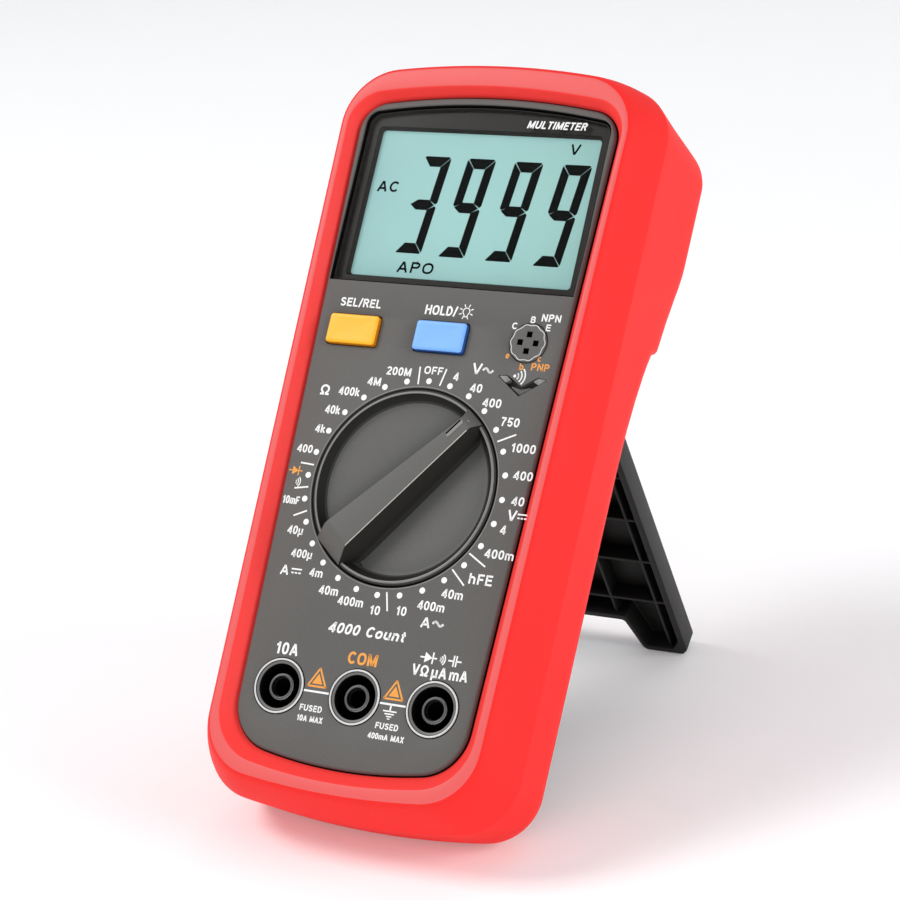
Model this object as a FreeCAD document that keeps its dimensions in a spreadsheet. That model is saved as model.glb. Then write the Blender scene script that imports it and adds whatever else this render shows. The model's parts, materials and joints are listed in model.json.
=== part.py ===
import FreeCAD, Part
import Sketcher
import math
import os
from FreeCAD import Vector, Placement, Rotation

# Pocket digital multimeter in a soft over-jacket, standing on its kickstand.
# Working frame of every piece: X to the right across the face, Y up along the
# face, Z out of the face; the origin is the dial's centre on the face plane.
# The finished pieces are then leaned back into the row frame: +Z up, the face
# looks towards -Y, origin at the centre of the base of the bounding box.

doc = FreeCAD.newDocument("multimeter")
sheet = doc.addObject("Spreadsheet::Sheet", "Dims")

CELLS = [
    ("faceTilt", 51.114), ("standOpen", 62.74), ("pointerTurn", 38.571),
    # over-jacket
    ("jacketLip", 1.05), ("jacketTop", 2.0), ("jacketWall", 3.1), ("fitGap", 0.15),
    # case
    ("plateThick", 2.4), ("caseWall", 2.0), ("partLine", 13.0),
    ("lowerBack", 26.5), ("bulgeBack", 39.4),
    ("recessHalf", 31.75), ("recessFloor", 21.1), ("recessBottom", -57.0), ("recessTop", 41.0),
    # display
    ("lensDepth", 1.0), ("lensThick", 1.2), ("viewHalf", 28.6), ("viewLow", 47.9), ("viewHigh", 84.0),
    ("glassThick", 2.8), ("glassHalf", 31.0), ("glassLow", 45.5), ("glassHigh", 86.5),
    # dial
    ("dialRad", 22.0), ("wellRad", 22.3), ("wellDepth", 4.4), ("wellFloor", 1.6),
    ("rimIn", 21.1), ("dishRad", 19.5), ("dishDepth", 1.8), ("rimUp", 0.5), ("skirtDepth", 4.0),
    ("knobWall", 1.6), ("shaftRad", 7.0), ("shaftGap", 0.05), ("bossRad", 5.0),
    ("gripTop", 3.9), ("rotorRad", 19.4), ("rotorThick", 1.6), ("rotorLow", 8.0),
    # sockets
    ("jackPitch", 19.0), ("jackRow", -47.1), ("jackRad", 6.1), ("jackWell", 4.95),
    ("jackNose", 2.95), ("jackMouth", 2.05), ("jackDepth", 16.0), ("boreRad", 2.05), ("sleeveRad", 2.75),
    ("sleeveTop", 1.7), ("sleeveLow", 17.7), ("jackRim", 0.3),
    # keys
    ("keyWide", 12.6), ("keyHigh", 6.9), ("keyUp", 0.9), ("keyGap", 0.15), ("keyRow", 34.3),
    ("selectAt", -21.25), ("holdAt", 0.95), ("keyFlange", 0.8), ("keyStem", 6.5),
    # transistor socket and sounder
    ("socketAt", 22.4), ("socketRow", 34.7), ("socketRad", 4.45), ("socketHole", 1.3), ("socketPitch", 1.9),
    ("buzzAt", 23.4), ("buzzRow", 25.6), ("buzzRad", 4.4),
    # board
    ("boardFront", 9.0), ("boardThick", 1.6), ("boardHalf", 32.3),
    # fuses
    ("fuseRad", 3.2), ("fuseDrop", 3.9), ("bigFuseLong", 32.0), ("bigFuseRow", -58.6),
    ("smallFuseRow", -36.6), ("smallFuseLong", 32.0), ("clipThick", 0.4), ("clipWide", 5.0),
    # battery
    ("cellLong", 46.0), ("cellWide", 25.4), ("cellThick", 17.0), ("cellLow", 63.0), ("cellBack", 33.8),
    ("coverHalf", 27.0), ("coverLow", 58.6), ("coverHigh", 89.4), ("coverThick", 1.9),
    # stand
    ("standHalf", 31.3), ("standDraft", 1.3), ("standThick", 7.1), ("standReach", 84.7), ("pivotRow", 31.3), ("pivotBack", 25.0),
    ("pinRad", 1.5), ("pinIn", 26.0), ("pinOut", 34.0), ("standSkin", 2.0), ("standWall", 1.8), ("ribThick", 1.2),
    ("ribPitch", 14.4), ("archHalf", 16.8), ("archReach", 74.5),
    # screws
    ("screwHead", 2.6), ("screwHeadHigh", 1.5), ("screwRad", 1.25), ("screwLong", 9.0),
]
for i, (alias, value) in enumerate(CELLS, start=1):
    sheet.set("A%d" % i, alias)
    sheet.set("B%d" % i, str(value))
    sheet.setAlias("B%d" % i, alias)
doc.recompute()


class Q:
    """A size with the sheet expression it comes from."""

    def __init__(self, value, text):
        self.v = float(value)
        self.t = text

    def __add__(self, o):
        o = lift(o)
        return Q(self.v + o.v, "(%s + %s)" % (self.t, o.t))

    def __sub__(self, o):
        o = lift(o)
        return Q(self.v - o.v, "(%s - %s)" % (self.t, o.t))

    def __mul__(self, o):
        o = lift(o)
        return Q(self.v * o.v, "(%s * %s)" % (self.t, o.t))

    def __truediv__(self, o):
        o = lift(o)
        return Q(self.v / o.v, "(%s / %s)" % (self.t, o.t))

    def __neg__(self):
        return Q(-self.v, "(0 - %s)" % self.t)


def lift(x):
    return x if isinstance(x, Q) else Q(x, "%.6f" % float(x))


def q(alias):
    return Q(getattr(sheet, alias), "Dims." + alias)


def num(alias):
    return float(getattr(sheet, alias))


def bind(obj, prop, value):
    value = lift(value)
    setattr(obj, prop, value.v)
    obj.setExpression(prop, value.t)


def put(obj, x=0.0, y=0.0, z=0.0, rot=None):
    x, y, z = lift(x), lift(y), lift(z)
    obj.Placement = Placement(Vector(x.v, y.v, z.v), rot or Rotation())
    for axis, val in (("x", x), ("y", y), ("z", z)):
        obj.setExpression("Placement.Base." + axis, val.t)
    return obj


count = [0]


def fresh(stem):
    count[0] += 1
    return "%s_%03d" % (stem, count[0])


ALONG_X = Rotation(Vector(0, 1, 0), 90)
ALONG_Y = Rotation(Vector(1, 0, 0), -90)


def cyl(r, length, x=0.0, y=0.0, z=0.0, rot=None):
    """Cylinder that starts at x, y, z and runs along +Z unless turned."""
    o = doc.addObject("Part::Cylinder", fresh("Cyl"))
    bind(o, "Radius", r)
    bind(o, "Height", length)
    return put(o, x, y, z, rot)


def box(x, y, z, lx, ly, lz):
    o = doc.addObject("Part::Box", fresh("Box"))
    bind(o, "Length", lx)
    bind(o, "Width", ly)
    bind(o, "Height", lz)
    return put(o, x, y, z)


def cone(r1, r2, length, x=0.0, y=0.0, z=0.0):
    o = doc.addObject("Part::Cone", fresh("Cone"))
    bind(o, "Radius1", r1)
    bind(o, "Radius2", r2)
    bind(o, "Height", length)
    return put(o, x, y, z)


def fuse(*parts):
    o = doc.addObject("Part::MultiFuse", fresh("Fuse"))
    o.Shapes = list(parts)
    return o


def cut(base, *tools):
    o = doc.addObject("Part::Cut", fresh("Cut"))
    o.Base = base
    o.Tool = tools[0] if len(tools) == 1 else fuse(*tools)
    return o


def group(*parts):
    o = doc.addObject("Part::Compound", fresh("Group"))
    o.Links = list(parts)
    return o


def solid(shape, stem="Solid"):
    o = doc.addObject("Part::Feature", fresh(stem))
    o.Shape = shape
    return o


# ---------------------------------------------------------------- sketches
def body():
    return doc.addObject("PartDesign::Body", fresh("Body"))


def sketch(b, role="XY_Plane", lift_by=None):
    s = b.newObject("Sketcher::SketchObject", fresh("Sketch"))
    plane = [o for o in b.Origin.OriginFeatures if o.Role == role][0]
    s.AttachmentSupport = [(plane, "")]
    s.MapMode = "FlatFace"
    if lift_by is not None:
        lift_by = lift(lift_by)
        s.AttachmentOffset = Placement(Vector(0, 0, lift_by.v), Rotation())
        s.setExpression("AttachmentOffset.Base.z", lift_by.t)
    return s


def pin_point(s, g, pos, x, y):
    for kind, val in (("DistanceX", lift(x)), ("DistanceY", lift(y))):
        c = s.addConstraint(Sketcher.Constraint(kind, -1, 1, g, pos, val.v))
        s.setExpression("Constraints[%d]" % c, val.t)


def ring(s, x, y, r):
    x, y, r = lift(x), lift(y), lift(r)
    g = s.addGeometry(Part.Circle(Vector(x.v, y.v, 0), Vector(0, 0, 1), r.v), False)
    c = s.addConstraint(Sketcher.Constraint("Radius", g, r.v))
    s.setExpression("Constraints[%d]" % c, r.t)
    pin_point(s, g, 3, x, y)
    return g


def poly(s, pts):
    pts = [(lift(x), lift(y)) for x, y in pts]
    n = len(pts)
    ids = []
    for i in range(n):
        a, b2 = pts[i], pts[(i + 1) % n]
        ids.append(s.addGeometry(Part.LineSegment(Vector(a[0].v, a[1].v, 0), Vector(b2[0].v, b2[1].v, 0)), False))
    for i in range(n):
        s.addConstraint(Sketcher.Constraint("Coincident", ids[i], 2, ids[(i + 1) % n], 1))
    for i in range(n):
        pin_point(s, ids[i], 1, pts[i][0], pts[i][1])
    return ids


def pad(b, s, length, reverse=False, sym=False):
    p = b.newObject("PartDesign::Pad", fresh("Pad"))
    p.Profile = s
    bind(p, "Length", length)
    p.Reversed = reverse
    p.Midplane = sym
    b.Tip = p
    return p


def pocket(b, s, length=None, reverse=False):
    p = b.newObject("PartDesign::Pocket", fresh("Pocket"))
    p.Profile = s
    if length is None:
        p.Type = 1
    else:
        bind(p, "Length", length)
    p.Reversed = reverse
    b.Tip = p
    return p


def spin(b, s):
    """Full turn of a half profile drawn on the XZ plane about Z."""
    r = b.newObject("PartDesign::Revolution", fresh("Spin"))
    r.Profile = s
    r.ReferenceAxis = (s, ["V_Axis"])
    r.Angle = 360.0
    b.Tip = r
    return r


def lathe(pts):
    b = body()
    s = sketch(b, "XZ_Plane")
    poly(s, pts)
    spin(b, s)
    return b


def rect(x0, y0, x1, y1):
    return [(x0, y0), (x1, y0), (x1, y1), (x0, y1)]


# ---------------------------------------------------------------- outlines
# One outline: two straight slightly tapered sides, a shallow arc across the
# top and bottom, and a round at each corner.  hw75 and hw_45 are the half
# widths at y = 75 and y = -45.
def outline_marks(hw75, hw_45, top, low, rad_top, rad_low, r_top, r_low):
    ex, ey = (hw75 - hw_45) / 120.0, 1.0
    n = math.hypot(ex, ey)
    ex, ey = ex / n, ey / n
    nx, ny = -ey, ex

    def corner(cy, rad, r, upper):
        qx, qy = hw75 + nx * r, 75.0 + ny * r
        dx, dy = qx, qy - cy
        bb = dx * ex + dy * ey
        cc = dx * dx + dy * dy - (rad - r) ** 2
        root = math.sqrt(bb * bb - cc)
        s = -bb + root if upper else -bb - root
        cx, cy2 = qx + s * ex, qy + s * ey
        on_line = (cx - nx * r, cy2 - ny * r)
        k = rad / (rad - r)
        on_arc = (cx * k, cy + (cy2 - cy) * k)
        d = (on_line[0] + on_arc[0] - 2 * cx, on_line[1] + on_arc[1] - 2 * cy2)
        m = math.hypot(*d)
        mid = (cx + d[0] / m * r, cy2 + d[1] / m * r)
        return on_line, mid, on_arc

    up = corner(top - rad_top, rad_top, r_top, True)
    dn = corner(low + rad_low, rad_low, r_low, False)
    return up, dn


def outline(w, hw75, hw_45, top, low, rad_top, rad_low, r_top, r_low):
    (ul, um, ua), (dl, dm, da) = outline_marks(hw75, hw_45, top, low, rad_top, rad_low, r_top, r_low)

    def v(p, side=1):
        return Vector(side * p[0], p[1], w)

    tc, bc = Vector(0, top, w), Vector(0, low, w)
    edges = [
        Part.LineSegment(v(ul), v(dl)).toShape(),
        Part.Arc(v(dl), v(dm), v(da)).toShape(),
        Part.Arc(v(da), bc, v(da, -1)).toShape(),
        Part.Arc(v(da, -1), v(dm, -1), v(dl, -1)).toShape(),
        Part.LineSegment(v(dl, -1), v(ul, -1)).toShape(),
        Part.Arc(v(ul, -1), v(um, -1), v(ua, -1)).toShape(),
        Part.Arc(v(ua, -1), tc, v(ua)).toShape(),
        Part.Arc(v(ua), v(um), v(ul)).toShape(),
    ]
    return Part.Wire(edges)


def half_outline(w, hw75, hw_45, top, rad_top, r_top, y0):
    """Upper part of the outline closed by a straight edge at y0."""
    (ul, um, ua), _ = outline_marks(hw75, hw_45, top, -70.0, rad_top, 200.0, r_top, 12.0)
    x0 = hw75 + (y0 - 75.0) * (hw75 - hw_45) / 120.0

    def v(p, side=1):
        return Vector(side * p[0], p[1], w)

    edges = [
        Part.LineSegment(v(ul), v((x0, y0))).toShape(),
        Part.LineSegment(v((x0, y0)), v((x0, y0), -1)).toShape(),
        Part.LineSegment(v((x0, y0), -1), v(ul, -1)).toShape(),
        Part.Arc(v(ul, -1), v(um, -1), v(ua, -1)).toShape(),
        Part.Arc(v(ua, -1), Vector(0, top, w), v(ua)).toShape(),
        Part.Arc(v(ua), v(um), v(ul)).toShape(),
    ]
    return Part.Wire(edges)


def loft(wires):
    parts = []
    for a, b2 in zip(wires, wires[1:]):
        parts.append(Part.makeLoft([a, b2], True, True))
    out = parts[0]
    for p in parts[1:]:
        out = out.fuse(p)
    return out.removeSplitter()


def prism_yz(points, half):
    """Closed Y-Z polygon pulled symmetrically across X."""
    pts = [Vector(-half, y, z) for y, z in points]
    return Part.Face(Part.makePolygon(pts + [pts[0]])).extrude(Vector(2 * half, 0, 0))


def prism_xy(points, z0, height):
    pts = [Vector(x, y, z0) for x, y in points]
    return Part.Face(Part.makePolygon(pts + [pts[0]])).extrude(Vector(0, 0, height))


def block(x0, y0, z0, x1, y1, z1):
    return Part.makeBox(x1 - x0, y1 - y0, z1 - z0, Vector(x0, y0, z0))


def post(r, z0, z1, x=0.0, y=0.0):
    return Part.makeCylinder(r, z1 - z0, Vector(x, y, z0), Vector(0, 0, 1))


LOW = num("lowerBack")
DEEP = num("bulgeBack")

# levels of the over-jacket: height, half widths, top, low, arcs, corners
JACKET = [
    (num("jacketTop"), 35.6, 33.4, 97.4, -68.6, 190, 190, 13, 13),
    (1.2, 36.5, 34.3, 98.3, -69.5, 190, 190, 13.5, 13.5),
    (-9.0, 40.5, 38.9, 100.2, -73.2, 190, 200, 13, 14),
    (-18.0, 40.1, 38.6, 98.8, -73.0, 190, 200, 12, 12.5),
    (-21.0, 39.4, 37.9, 97.6, -72.3, 190, 200, 11.5, 12),
    (-LOW + 1.6, 37.2, 35.8, 95.0, -70.2, 190, 200, 10.5, 11),
    (-LOW, 33.6, 32.4, 91.0, -66.8, 190, 200, 8, 9),
]
JACKET_HIGH = [
    (-9.0, 40.5, 38.9, 100.2, 190, 13),
    (-31.0, 39.5, 37.9, 96.9, 190, 8.5),
    (-35.5, 38.4, 36.8, 95.2, 190, 7),
    (-DEEP + 1.2, 36.4, 34.8, 93.0, 190, 6),
    (-DEEP, 33.6, 32.0, 90.2, 190, 5),
]
gap = num("fitGap")
wall = num("jacketWall")
CASE = [
    (-1.2, 34.2, 32.0, 95.3, -66.4, 188, 188, 10.5, 10.5),
    (-9.0, 37.4, 35.8, 97.1, -70.1, 188, 198, 10.5, 11),
    (-18.0, 37.0, 35.5, 95.7, -69.9, 188, 198, 9.5, 10),
    (-LOW + 4.6, 36.0, 34.5, 94.4, -69.0, 188, 198, 9, 9.5),
    (-LOW + 3.1, 33.6, 32.2, 91.8, -66.6, 188, 198, 7, 8),
]
CASE_HIGH = [
    (-9.0, 37.4, 35.8, 97.1, 188, 10.5),
    (-31.0, 36.4, 34.8, 93.8, 188, 6),
    (-DEEP + 3.9, 35.2, 33.6, 92.2, 188, 5),
    (-DEEP + 3.1, 33.2, 31.6, 90.2, 188, 4.5),
]


def shrink(levels, by, back):
    """The same levels moved inwards by a wall and forwards at the back."""
    out = []
    for lv in levels:
        w, rest = lv[0], list(lv[1:])
        if len(lv) == 9:
            out.append((w, rest[0] - by, rest[1] - by, rest[2] - by, rest[3] + by,
                        rest[4] - by, rest[5] - by, max(rest[6] - by, 1.5), max(rest[7] - by, 1.5)))
        else:
            out.append((w, rest[0] - by, rest[1] - by, rest[2] - by, rest[3] - by, max(rest[4] - by, 1.5)))
    n = len(out)
    if back:
        out = [(lv[0] + (back if i >= n - 2 else 0.0),) + lv[1:] for i, lv in enumerate(out)]
    return out


def shell_solid(levels, high, y0, slope):
    """Lower body, the deeper block behind the display and the ramp between."""
    low = loft([outline(*lv) for lv in levels])
    up = loft([half_outline(*lv[:6], y0) for lv in high])
    up = up.cut(prism_yz(slope, 60.0))
    return low.fuse(up).removeSplitter()


# the deep block's back falls away towards its lower edge
JACKET_SLOPE = [(30, -60), (64.0, -60), (63.5, -DEEP), (58.0, -37.5), (51.5, -35.5), (45.3, -34.3), (43.4, -33.9), (30, -33.9)]
jacket_outer = shell_solid(JACKET, JACKET_HIGH, 43.6, JACKET_SLOPE)
# ramp from the lower back up to the deep block
ramp = prism_yz([(14.0, -LOW + 1.0), (14.0, -LOW), (24, -27.0), (31, -28.0), (40, -30.2), (43.7, -31.6), (43.7, -20.0)], 33.4)
jacket_outer = jacket_outer.fuse(ramp).removeSplitter()

C_OFF = wall
CASE_SLOPE = [(30, -60), (60.0, -60), (58.2, -DEEP + 3.1), (51.0, -32.6), (45.0, -31.0), (30, -31.0)]
case_outer = shell_solid(CASE, CASE_HIGH, 46.8, CASE_SLOPE)
case_fit = shell_solid(shrink(CASE, -gap, -gap), shrink(CASE_HIGH, -gap, -gap), 46.8 - gap,
                       [(y, z if z < -50 else z - gap) for y, z in CASE_SLOPE])
inner = shell_solid(shrink(CASE, num("caseWall"), 2.0), shrink(CASE_HIGH, num("caseWall"), 2.0), 48.8,
                    [(y + 0.6, z if z < -50 else z + 2.0) for y, z in CASE_SLOPE])

# ---------------------------------------------------------------- over-jacket
PANEL = (32.0, 29.3, 90.6, -63.8, 170, 110, 7, 11)
lip_low = outline(-2.4, *[a + b2 for a, b2 in zip(PANEL, (0.15, 0.15, 0.15, -0.15, 0, 0, 0.15, 0.15))])
lip_mid = outline(-num("jacketLip"), *[a + b2 for a, b2 in zip(PANEL, (0.15, 0.15, 0.15, -0.15, 0, 0, 0.15, 0.15))])
lip_top = outline(num("jacketTop") + 0.2, 34.4, 31.7, 93.2, -66.5, 180, 130, 8.5, 12.5)
mouth = loft([lip_low, lip_mid, lip_top])
rh, rf = num("recessHalf"), num("recessFloor")
rb, rt = num("recessBottom"), num("recessTop")
jacket = jacket_outer.cut(case_fit).cut(mouth)
# long window in the back that the stand folds into, and its hinge notches
jacket = jacket.cut(block(-rh - 0.6, rb - 0.6, -60, rh + 0.6, rt + 0.4, -15))
jacket = jacket.cut(block(-35.2, 25.4, -60, 35.2, 37.4, -15))
# window over the battery door
ch, c0, c1 = num("coverHalf"), num("coverLow"), num("coverHigh")
jacket = jacket.cut(block(-ch - 0.8, c0 - 0.8, -60, ch + 0.8, c1 - 2.0, -30))
holster = solid(jacket, "Jacket")

# ---------------------------------------------------------------- case halves
pl = num("partLine")
ridge = loft([outline(-1.6, *PANEL), outline(-0.9, *PANEL),
              outline(-0.25, 31.85, 29.15, 90.4, -63.65, 170, 110, 6.9, 10.9),
              outline(0.0, 31.5, 28.8, 90.05, -63.3, 170, 110, 6.5, 10.5)])
front_outer = case_outer.common(block(-60, -100, -pl, 60, 120, 5)).fuse(ridge)
front_inner = inner.common(block(-60, -100, -pl - 1, 60, 120, -num("plateThick")))
front = front_outer.cut(front_inner)
jx, jy = num("jackPitch"), num("jackRow")
# thicker seat under the display lens
seat = loft([outline(-3.2, 33.0, 33.0, 88.4, -60, 180, 110, 4, 8), outline(-2.0, 33.0, 33.0, 88.4, -60, 180, 110, 4, 8)])
seat = seat.common(block(-40, 44.4, -4, 40, 100, 0)).common(inner)
front = front.fuse(seat)
LENS = (30.9, 30.9, 89.3, 0, 170, 110, 3.2, 3)
lens_cut = loft([half_outline(-num("lensDepth") - num("lensThick"), 30.95, 30.95, 89.35, 170, 3.2, 45.95),
                 half_outline(1.0, 30.95, 30.95, 89.35, 170, 3.2, 45.95)])
front = front.cut(lens_cut)
vh, v0, v1 = num("viewHalf"), num("viewLow"), num("viewHigh")
front = front.cut(block(-vh, v0, -5, vh, v1, 1))
# dial well with a bearing hole and a ring for the detent
wr, wd, wf = num("wellRad"), num("wellDepth"), num("wellFloor")
front = front.fuse(post(wr + 1.3, -wd - wf, -num("plateThick") + 0.5).common(inner))
front = front.fuse(post(22.6, -8.7, -wd - wf).cut(post(21.2, -9, -wd - wf + 0.1)))
front = front.cut(post(wr, -wd, 1))
front = front.cut(post(num("shaftRad") + num("shaftGap"), -10, 1))
bead = post(wr + 0.55, -0.4, 0.4).cut(post(wr, -1, 1))
front = front.fuse(bead)
for k in range(28):
    a = math.radians(90 - 360.0 / 28 * (k + 0.5))
    front = front.cut(post(0.55, -8.9, -wd - wf - 0.3, 21.35 * math.cos(a), 21.35 * math.sin(a)))
# three socket holes with collars behind
for k in (-1, 0, 1):
    front = front.fuse(post(num("jackRad") + 1.4, -6.0, -num("plateThick") + 0.5, k * jx, jy).common(inner))
for k in (-1, 0, 1):
    front = front.cut(post(num("jackRad") + 0.08, -8, 1, k * jx, jy))
# key openings, transistor socket hole, sounder chamber
kw, kh, kg, ky = num("keyWide"), num("keyHigh"), num("keyGap"), num("keyRow")
for kx in (num("selectAt"), num("holdAt")):
    front = front.cut(block(kx - kw / 2 - kg, ky - kh / 2 - kg, -5, kx + kw / 2 + kg, ky + kh / 2 + kg, 1))
front = front.cut(post(num("socketRad") + 0.08, -6, 1, num("socketAt"), num("socketRow")))
bx, by = num("buzzAt"), num("buzzRow")
chev = [(16.6, 26.9), (22.8, 22.7), (29.0, 26.9), (26.6, 27.0), (22.8, 24.6), (19.0, 27.0)]
front = front.cut(prism_xy(chev, -0.7, 2.0))
front = front.cut(prism_xy([(18.6, 26.2), (22.8, 23.6), (27.0, 26.2), (26.4, 26.6), (22.8, 24.5), (19.2, 26.6)], -4, 4.0))
# screw towers that meet the back half
TOWERS = [(-18.0, 91.5), (18.0, 91.5), (-27.5, -60.2), (27.5, -60.2)]
BOARD_FIX = [(-29.5, 41.6), (29.0, 5.0), (-29.0, -20.0), (29.0, -40.0)]
for tx, ty in TOWERS:
    front = front.fuse(post(2.9, -pl, -num("plateThick"), tx, ty).common(case_outer))
    front = front.cut(post(1.1, -pl - 1, -4.0, tx, ty))
for tx, ty in BOARD_FIX:
    front = front.fuse(post(2.2, -8.95, -num("plateThick") + 0.2, tx, ty).cut(post(1.1, -10, -4.0, tx, ty)))
front_case = solid(front.removeSplitter(), "FrontShell")

rear_outer = case_outer.common(block(-60, -100, -60, 60, 120, -pl - 0.05))
rear = rear_outer.cut(inner.common(block(-60, -100, -60, 60, 120, 5)))
# raised floor of the stand's recess
floor_in = block(-rh - 2.0, rb - 2.0, -rf - 1, rh + 2.0, rt + 2.0, -rf + 2.0).common(case_outer)
rear = rear.fuse(floor_in)
rear = rear.cut(block(-rh, rb, -60, rh, rt, -rf))
# hinge lugs either side of the stand's head
py, pz = num("pivotRow"), -num("pivotBack")
for sd in (-1, 1):
    x0, x1 = (rh, 34.6) if sd > 0 else (-34.6, -rh)
    lug = block(x0, py - 4.6, pz, x1, py + 4.6, -17.0)
    nose = Part.makeCylinder(4.6, x1 - x0, Vector(x0, py, pz), Vector(1, 0, 0))
    rear = rear.fuse(lug.fuse(nose))
    hole = Part.makeCylinder(num("pinRad") + 0.05, x1 - x0 - 0.5,
                             Vector(x0 if sd > 0 else x0 + 0.5, py, pz), Vector(1, 0, 0))
    rear = rear.cut(hole)
# wall between the board and the battery
rear = rear.fuse(block(-34.0, 60.4, -14.2, 34.0, 91.0, -13.05).common(inner))
rear = rear.fuse(block(-34.0, 59.4, -DEEP + 4, 34.0, 60.6, -13.05).common(inner))
# battery door opening with a ledge
rear = rear.cut(block(-ch - 0.12, c0 - 0.12, -60, ch + 0.12, c1 + 0.12, -DEEP + 5.0))
rear = rear.fuse(block(-4.5, c0 - 0.3, -DEEP + 5.1, 4.5, c0 + 4.2, -20.0))
rear = rear.cut(post(1.1, -40, -24, 0, c0 + 2.6))
for tx, ty in TOWERS:
    rear = rear.fuse(post(3.0, -DEEP + 5.05 if ty > 0 else -22.0, -pl - 0.05, tx, ty).common(case_outer))
    rear = rear.cut(post(1.5, -60, 0, tx, ty)).cut(post(2.45, -60, -19.2, tx, ty))
# shallow panel lines and grip ribs on the recess floor
for k in range(5):
    yy = 12.0 - 14.0 * k
    rear = rear.cut(block(-20.0, yy - 0.4, -rf - 0.5, 20.0, yy + 0.4, -rf + 0.45))
rear_case = solid(rear.removeSplitter(), "RearShell")

# ---------------------------------------------------------------- display stack
lens_sh = loft([half_outline(-num("lensDepth") - num("lensThick") + 0.02, 30.8, 30.8, 89.2, 170, 3.1, 46.1),
                half_outline(-num("lensDepth"), 30.8, 30.8, 89.2, 170, 3.1, 46.1)])
lens_sh = lens_sh.makeFillet(0.25, [e for e in lens_sh.Edges if all(abs(v.Z + num("lensDepth")) < 1e-6 for v in e.Vertexes)])
lcd_window = solid(lens_sh, "Lens")

gh, g0, g1, gt = q("glassHalf"), q("glassLow"), q("glassHigh"), q("glassThick")
lcd_glass = fuse(box(-gh, g0, -(gt / 2 + 3.3), gh * 2, g1 - g0, gt / 2),
                 box(-gh, g0 + 1.6, -(gt + 3.3), gh * 2, g1 - g0 - 3.2, gt / 2))
lcd_frame = cut(box(-32.2, 43.9, -8.8, 64.4, 43.9, 5.4),
                box(-gh - 0.15, g0 - 0.15, -9.0, gh * 2 + 0.3, g1 - g0 + 0.3, 8.0),
                solid(prism_xy([(30.9, 87.9), (32.3, 87.9), (32.3, 86.5)], -9.0, 6.0), "CornerRight"),
                solid(prism_xy([(-30.9, 87.9), (-32.3, 87.9), (-32.3, 86.5)], -9.0, 6.0), "CornerLeft"))
lcd_backlight = box(-29.6, 48.4, -8.6, 59.2, 35.2, 2.4)
zebra_strips = group(box(-28.5, 45.6, -8.95, 57.0, 1.4, 4.2), box(-28.5, 85.0, -8.95, 57.0, 1.4, 4.2))

# ---------------------------------------------------------------- board
b = body()
s = sketch(b, "XY_Plane", -q("boardFront") - q("boardThick"))
bh = q("boardHalf")
poly(s, [(-bh, -54.0), (-24.5, -63.6), (24.5, -63.6), (bh, -54.0), (bh, 80.0), (26.0, 88.6), (-26.0, 88.6), (-bh, 80.0)])
pad(b, s, q("boardThick"))
s = sketch(b, "XY_Plane", -q("boardFront") + 1.0)
for k in (-1, 0, 1):
    ring(s, q("jackPitch") * k, q("jackRow"), q("jackRad") + 0.25)
ring(s, 0.0, 0.0, q("bossRad") + 0.8)
for tx, ty in TOWERS:
    ring(s, tx, ty, 3.3)
for tx, ty in BOARD_FIX:
    ring(s, tx, ty, 1.2)
pocket(b, s, 4.0)
main_pcb = b

# ---------------------------------------------------------------- dial
R, Ri, Rd = q("dialRad"), q("rimIn"), q("dishRad")
up, dd, sk, kwl = q("rimUp"), q("dishDepth"), q("skirtDepth"), q("knobWall")
b = body()
s = sketch(b, "XZ_Plane")
sh_r, bo_r = q("shaftRad"), q("bossRad")
poly(s, [(0.0, -dd), (Rd - 0.4, -dd), (Rd, -dd + 0.2), (Ri, up - 0.2), (Ri + 0.3, up), (R - 0.35, up), (R, up - 0.35),
         (R, -sk), (R - 1.4, -sk), (R - 1.4, -dd - kwl), (sh_r, -dd - kwl), (sh_r, -6.25), (bo_r, -6.25),
         (bo_r, -q("rotorLow") - 0.1), (0.0, -q("rotorLow") - 0.1)])
spin(b, s)
# wedge grip, wide at the tail and narrow at the pointer, sides drafted
gt_ = q("gripTop")
low_s = sketch(b, "XY_Plane", -dd - 0.3)
poly(low_s, [(-6.3, -20.9), (4.6, -21.2), (5.0, -2.0), (3.4, 21.3), (-3.2, 21.3), (-5.6, -2.0)])
top_s = sketch(b, "XY_Plane", gt_)
poly(top_s, [(-4.7, -17.3), (2.93, -17.6), (2.85, -2.0), (2.69, 19.6), (-0.46, 19.6), (-2.6, -2.0)])
lf = b.newObject("PartDesign::AdditiveLoft", fresh("Grip"))
lf.Profile = low_s
lf.Sections = [top_s]
lf.Ruled = True
b.Tip = lf
s = sketch(b, "XY_Plane", gt_ + 0.1)
poly(s, rect(-0.25, 15.0, 0.65, 19.2))
pocket(b, s, 0.9)
dial_knob = b

rb_ = body()
s = sketch(rb_, "XY_Plane", -q("rotorLow"))
ring(s, 0.0, 0.0, q("rotorRad"))
ring(s, 0.0, 0.0, q("bossRad"))
pad(rb_, s, q("rotorThick"))
s = sketch(rb_, "XY_Plane", -q("rotorLow") + q("rotorThick") + 0.5)
poly(s, rect(-1.3, 13.6, 1.3, 20.0))
poly(s, rect(-1.3, -20.0, 1.3, -13.6))
pocket(rb_, s, 5.0)
switch_rotor = rb_


def coil(radius, wire, pitch, length, at, rot):
    """Round-wire compression spring as a swept helix."""
    path = Part.makeHelix(pitch, length, radius)
    start = path.Vertexes[0].Point
    prof = Part.Wire(Part.makeCircle(wire, start, Vector(0, 1, 0)))
    sw = Part.Wire(path.Edges).makePipeShell([prof], True, True)
    sw.Placement = Placement(at, rot)
    return sw


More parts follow.
